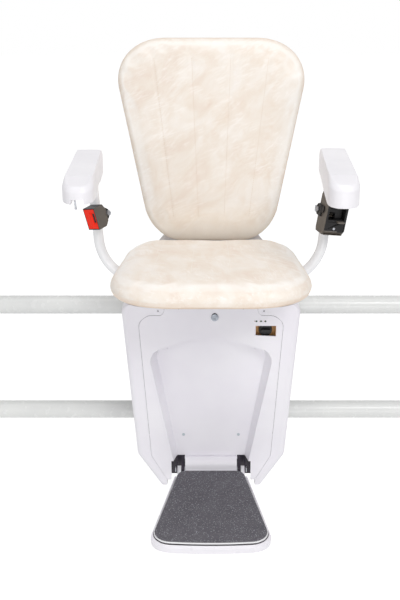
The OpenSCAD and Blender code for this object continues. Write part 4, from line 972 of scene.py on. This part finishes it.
def tray_shape(co, side):
    """Slopes the seat pan's front back under the cushion."""
    skirt_top, set_back, narrowing = 0.2925, 0.036, 0.1
    if co.z < skirt_top:
        f = ramp(-co.y, 0.45, 0.56)
        co.y += set_back * f
        co.x *= 1 - narrowing * f


def frame_shape(co, side):
    """Ends the seat frame's rails behind the slope of the pan."""
    set_back = 0.024
    co.y += set_back * ramp(-co.y, 0.5, 0.54)


# CAD nodes that keep their shape, and those that are dressed with the width of their broken edges
PAINTED = {
    "rail": ("upper_rail_tube", "lower_rail_tube"),
    "rack": ("gear_rack", "drive_pinion"),
    "zinc": ("roller_axles", "swivel_bearing", "footrest_hinge_pins", "seat_hinge_pins", "armrest_pins",
             "toggle_lever"),
    "rubber": ("guide_roller_left", "guide_roller_right", "load_roller_left", "load_roller_right",
               "keeper_roller_left", "keeper_roller_right", "seat_buffers"),
    "chassis": ("drive_motor", "seat_post"),
    "board": ("control_board",),
    "black": ("belt_spool",),
    "paint": ("arm_tube_left", "arm_tube_right"),
    "lamp_red": ("indicator_lamps",),
    "lock": ("key_cylinder", "key_lock"),
    "cover": ("cover_screws",),
}
DRESSED = (
    ("wall_bracket_left", "rail", 1.5), ("wall_bracket_right", "rail", 1.5),
    ("chassis_plate", "chassis", 0.8), ("guide_roller_forks", "zinc", 0.5),
    ("gearbox", "cast", 2), ("battery_left", "black", 3),
    ("battery_right", "black", 3), ("post_bracket", "chassis", 1), ("swivel_hub", "chassis", 1.5),
    ("seat_frame", "chassis", 1), ("back_bracket", "paint", 1.5), ("backrest_shell", "cover", 3),
    ("seat_pan", "cover", 2), ("seat_hinge_ears", "zinc", 0.4), ("switch_plate", "tan", 0.3),
    ("switch_knob", "black", 1.5), ("footrest_hangers", "plum_painted_shade", 1.2), ("footrest_plate", "paint", 0.6),
    ("footrest_mat", "mat", 0.6), ("safety_pan", "pan", 0.6), ("swivel_lever", "black", 1.2),
    ("belt_anchors", "zinc", 0.6), ("front_cover", "cover", 1.2), ("side_cover_left", "cover", 1.2),
    ("side_cover_right", "cover", 1.2),
)
WARPS = {"seat_frame": frame_shape, "seat_pan": tray_shape, "safety_pan": pan_shape,
         "front_cover": cover_shape, "side_cover_left": cover_shape, "side_cover_right": cover_shape}

for mat, nodes in PAINTED.items():
    for node in nodes:
        paint(node, mat)
for node, mat, width in DRESSED:
    dressed(node, mat, width, WARPS.get(node))


# Lamps, screws and plugs
LAMP_START, LAMP_RUN = 105.5, 26.5
LAMPS = [LAMP_START + LAMP_RUN * share for share in (0, 0.11, 0.46, 0.62, 0.86, 1)]


def second_of_pair(p):
    """Whether a face belongs to the second lamp of a pair."""
    gaps = [abs(p.center.x / MM - x) for x in LAMPS]
    return gaps.index(min(gaps)) % 2


tint(frame["nodes"]["indicator_lamps"], "lamp_green", second_of_pair)
tint(frame["nodes"]["cover_screws"], "screw_pale", lambda p: p.center.z < -0.1)
for x in (-70, 70):
    peg("seat_plug_%d" % x, (x, -592.5, 301.2), 2.2, 4, "rubber", "seat", Matrix())
for x in (109.4, 120.2, 131):
    peg("lamp_%d" % x, (x, -399, 191.3), 2.2, 3, "lamp_green", "carriage", Matrix())
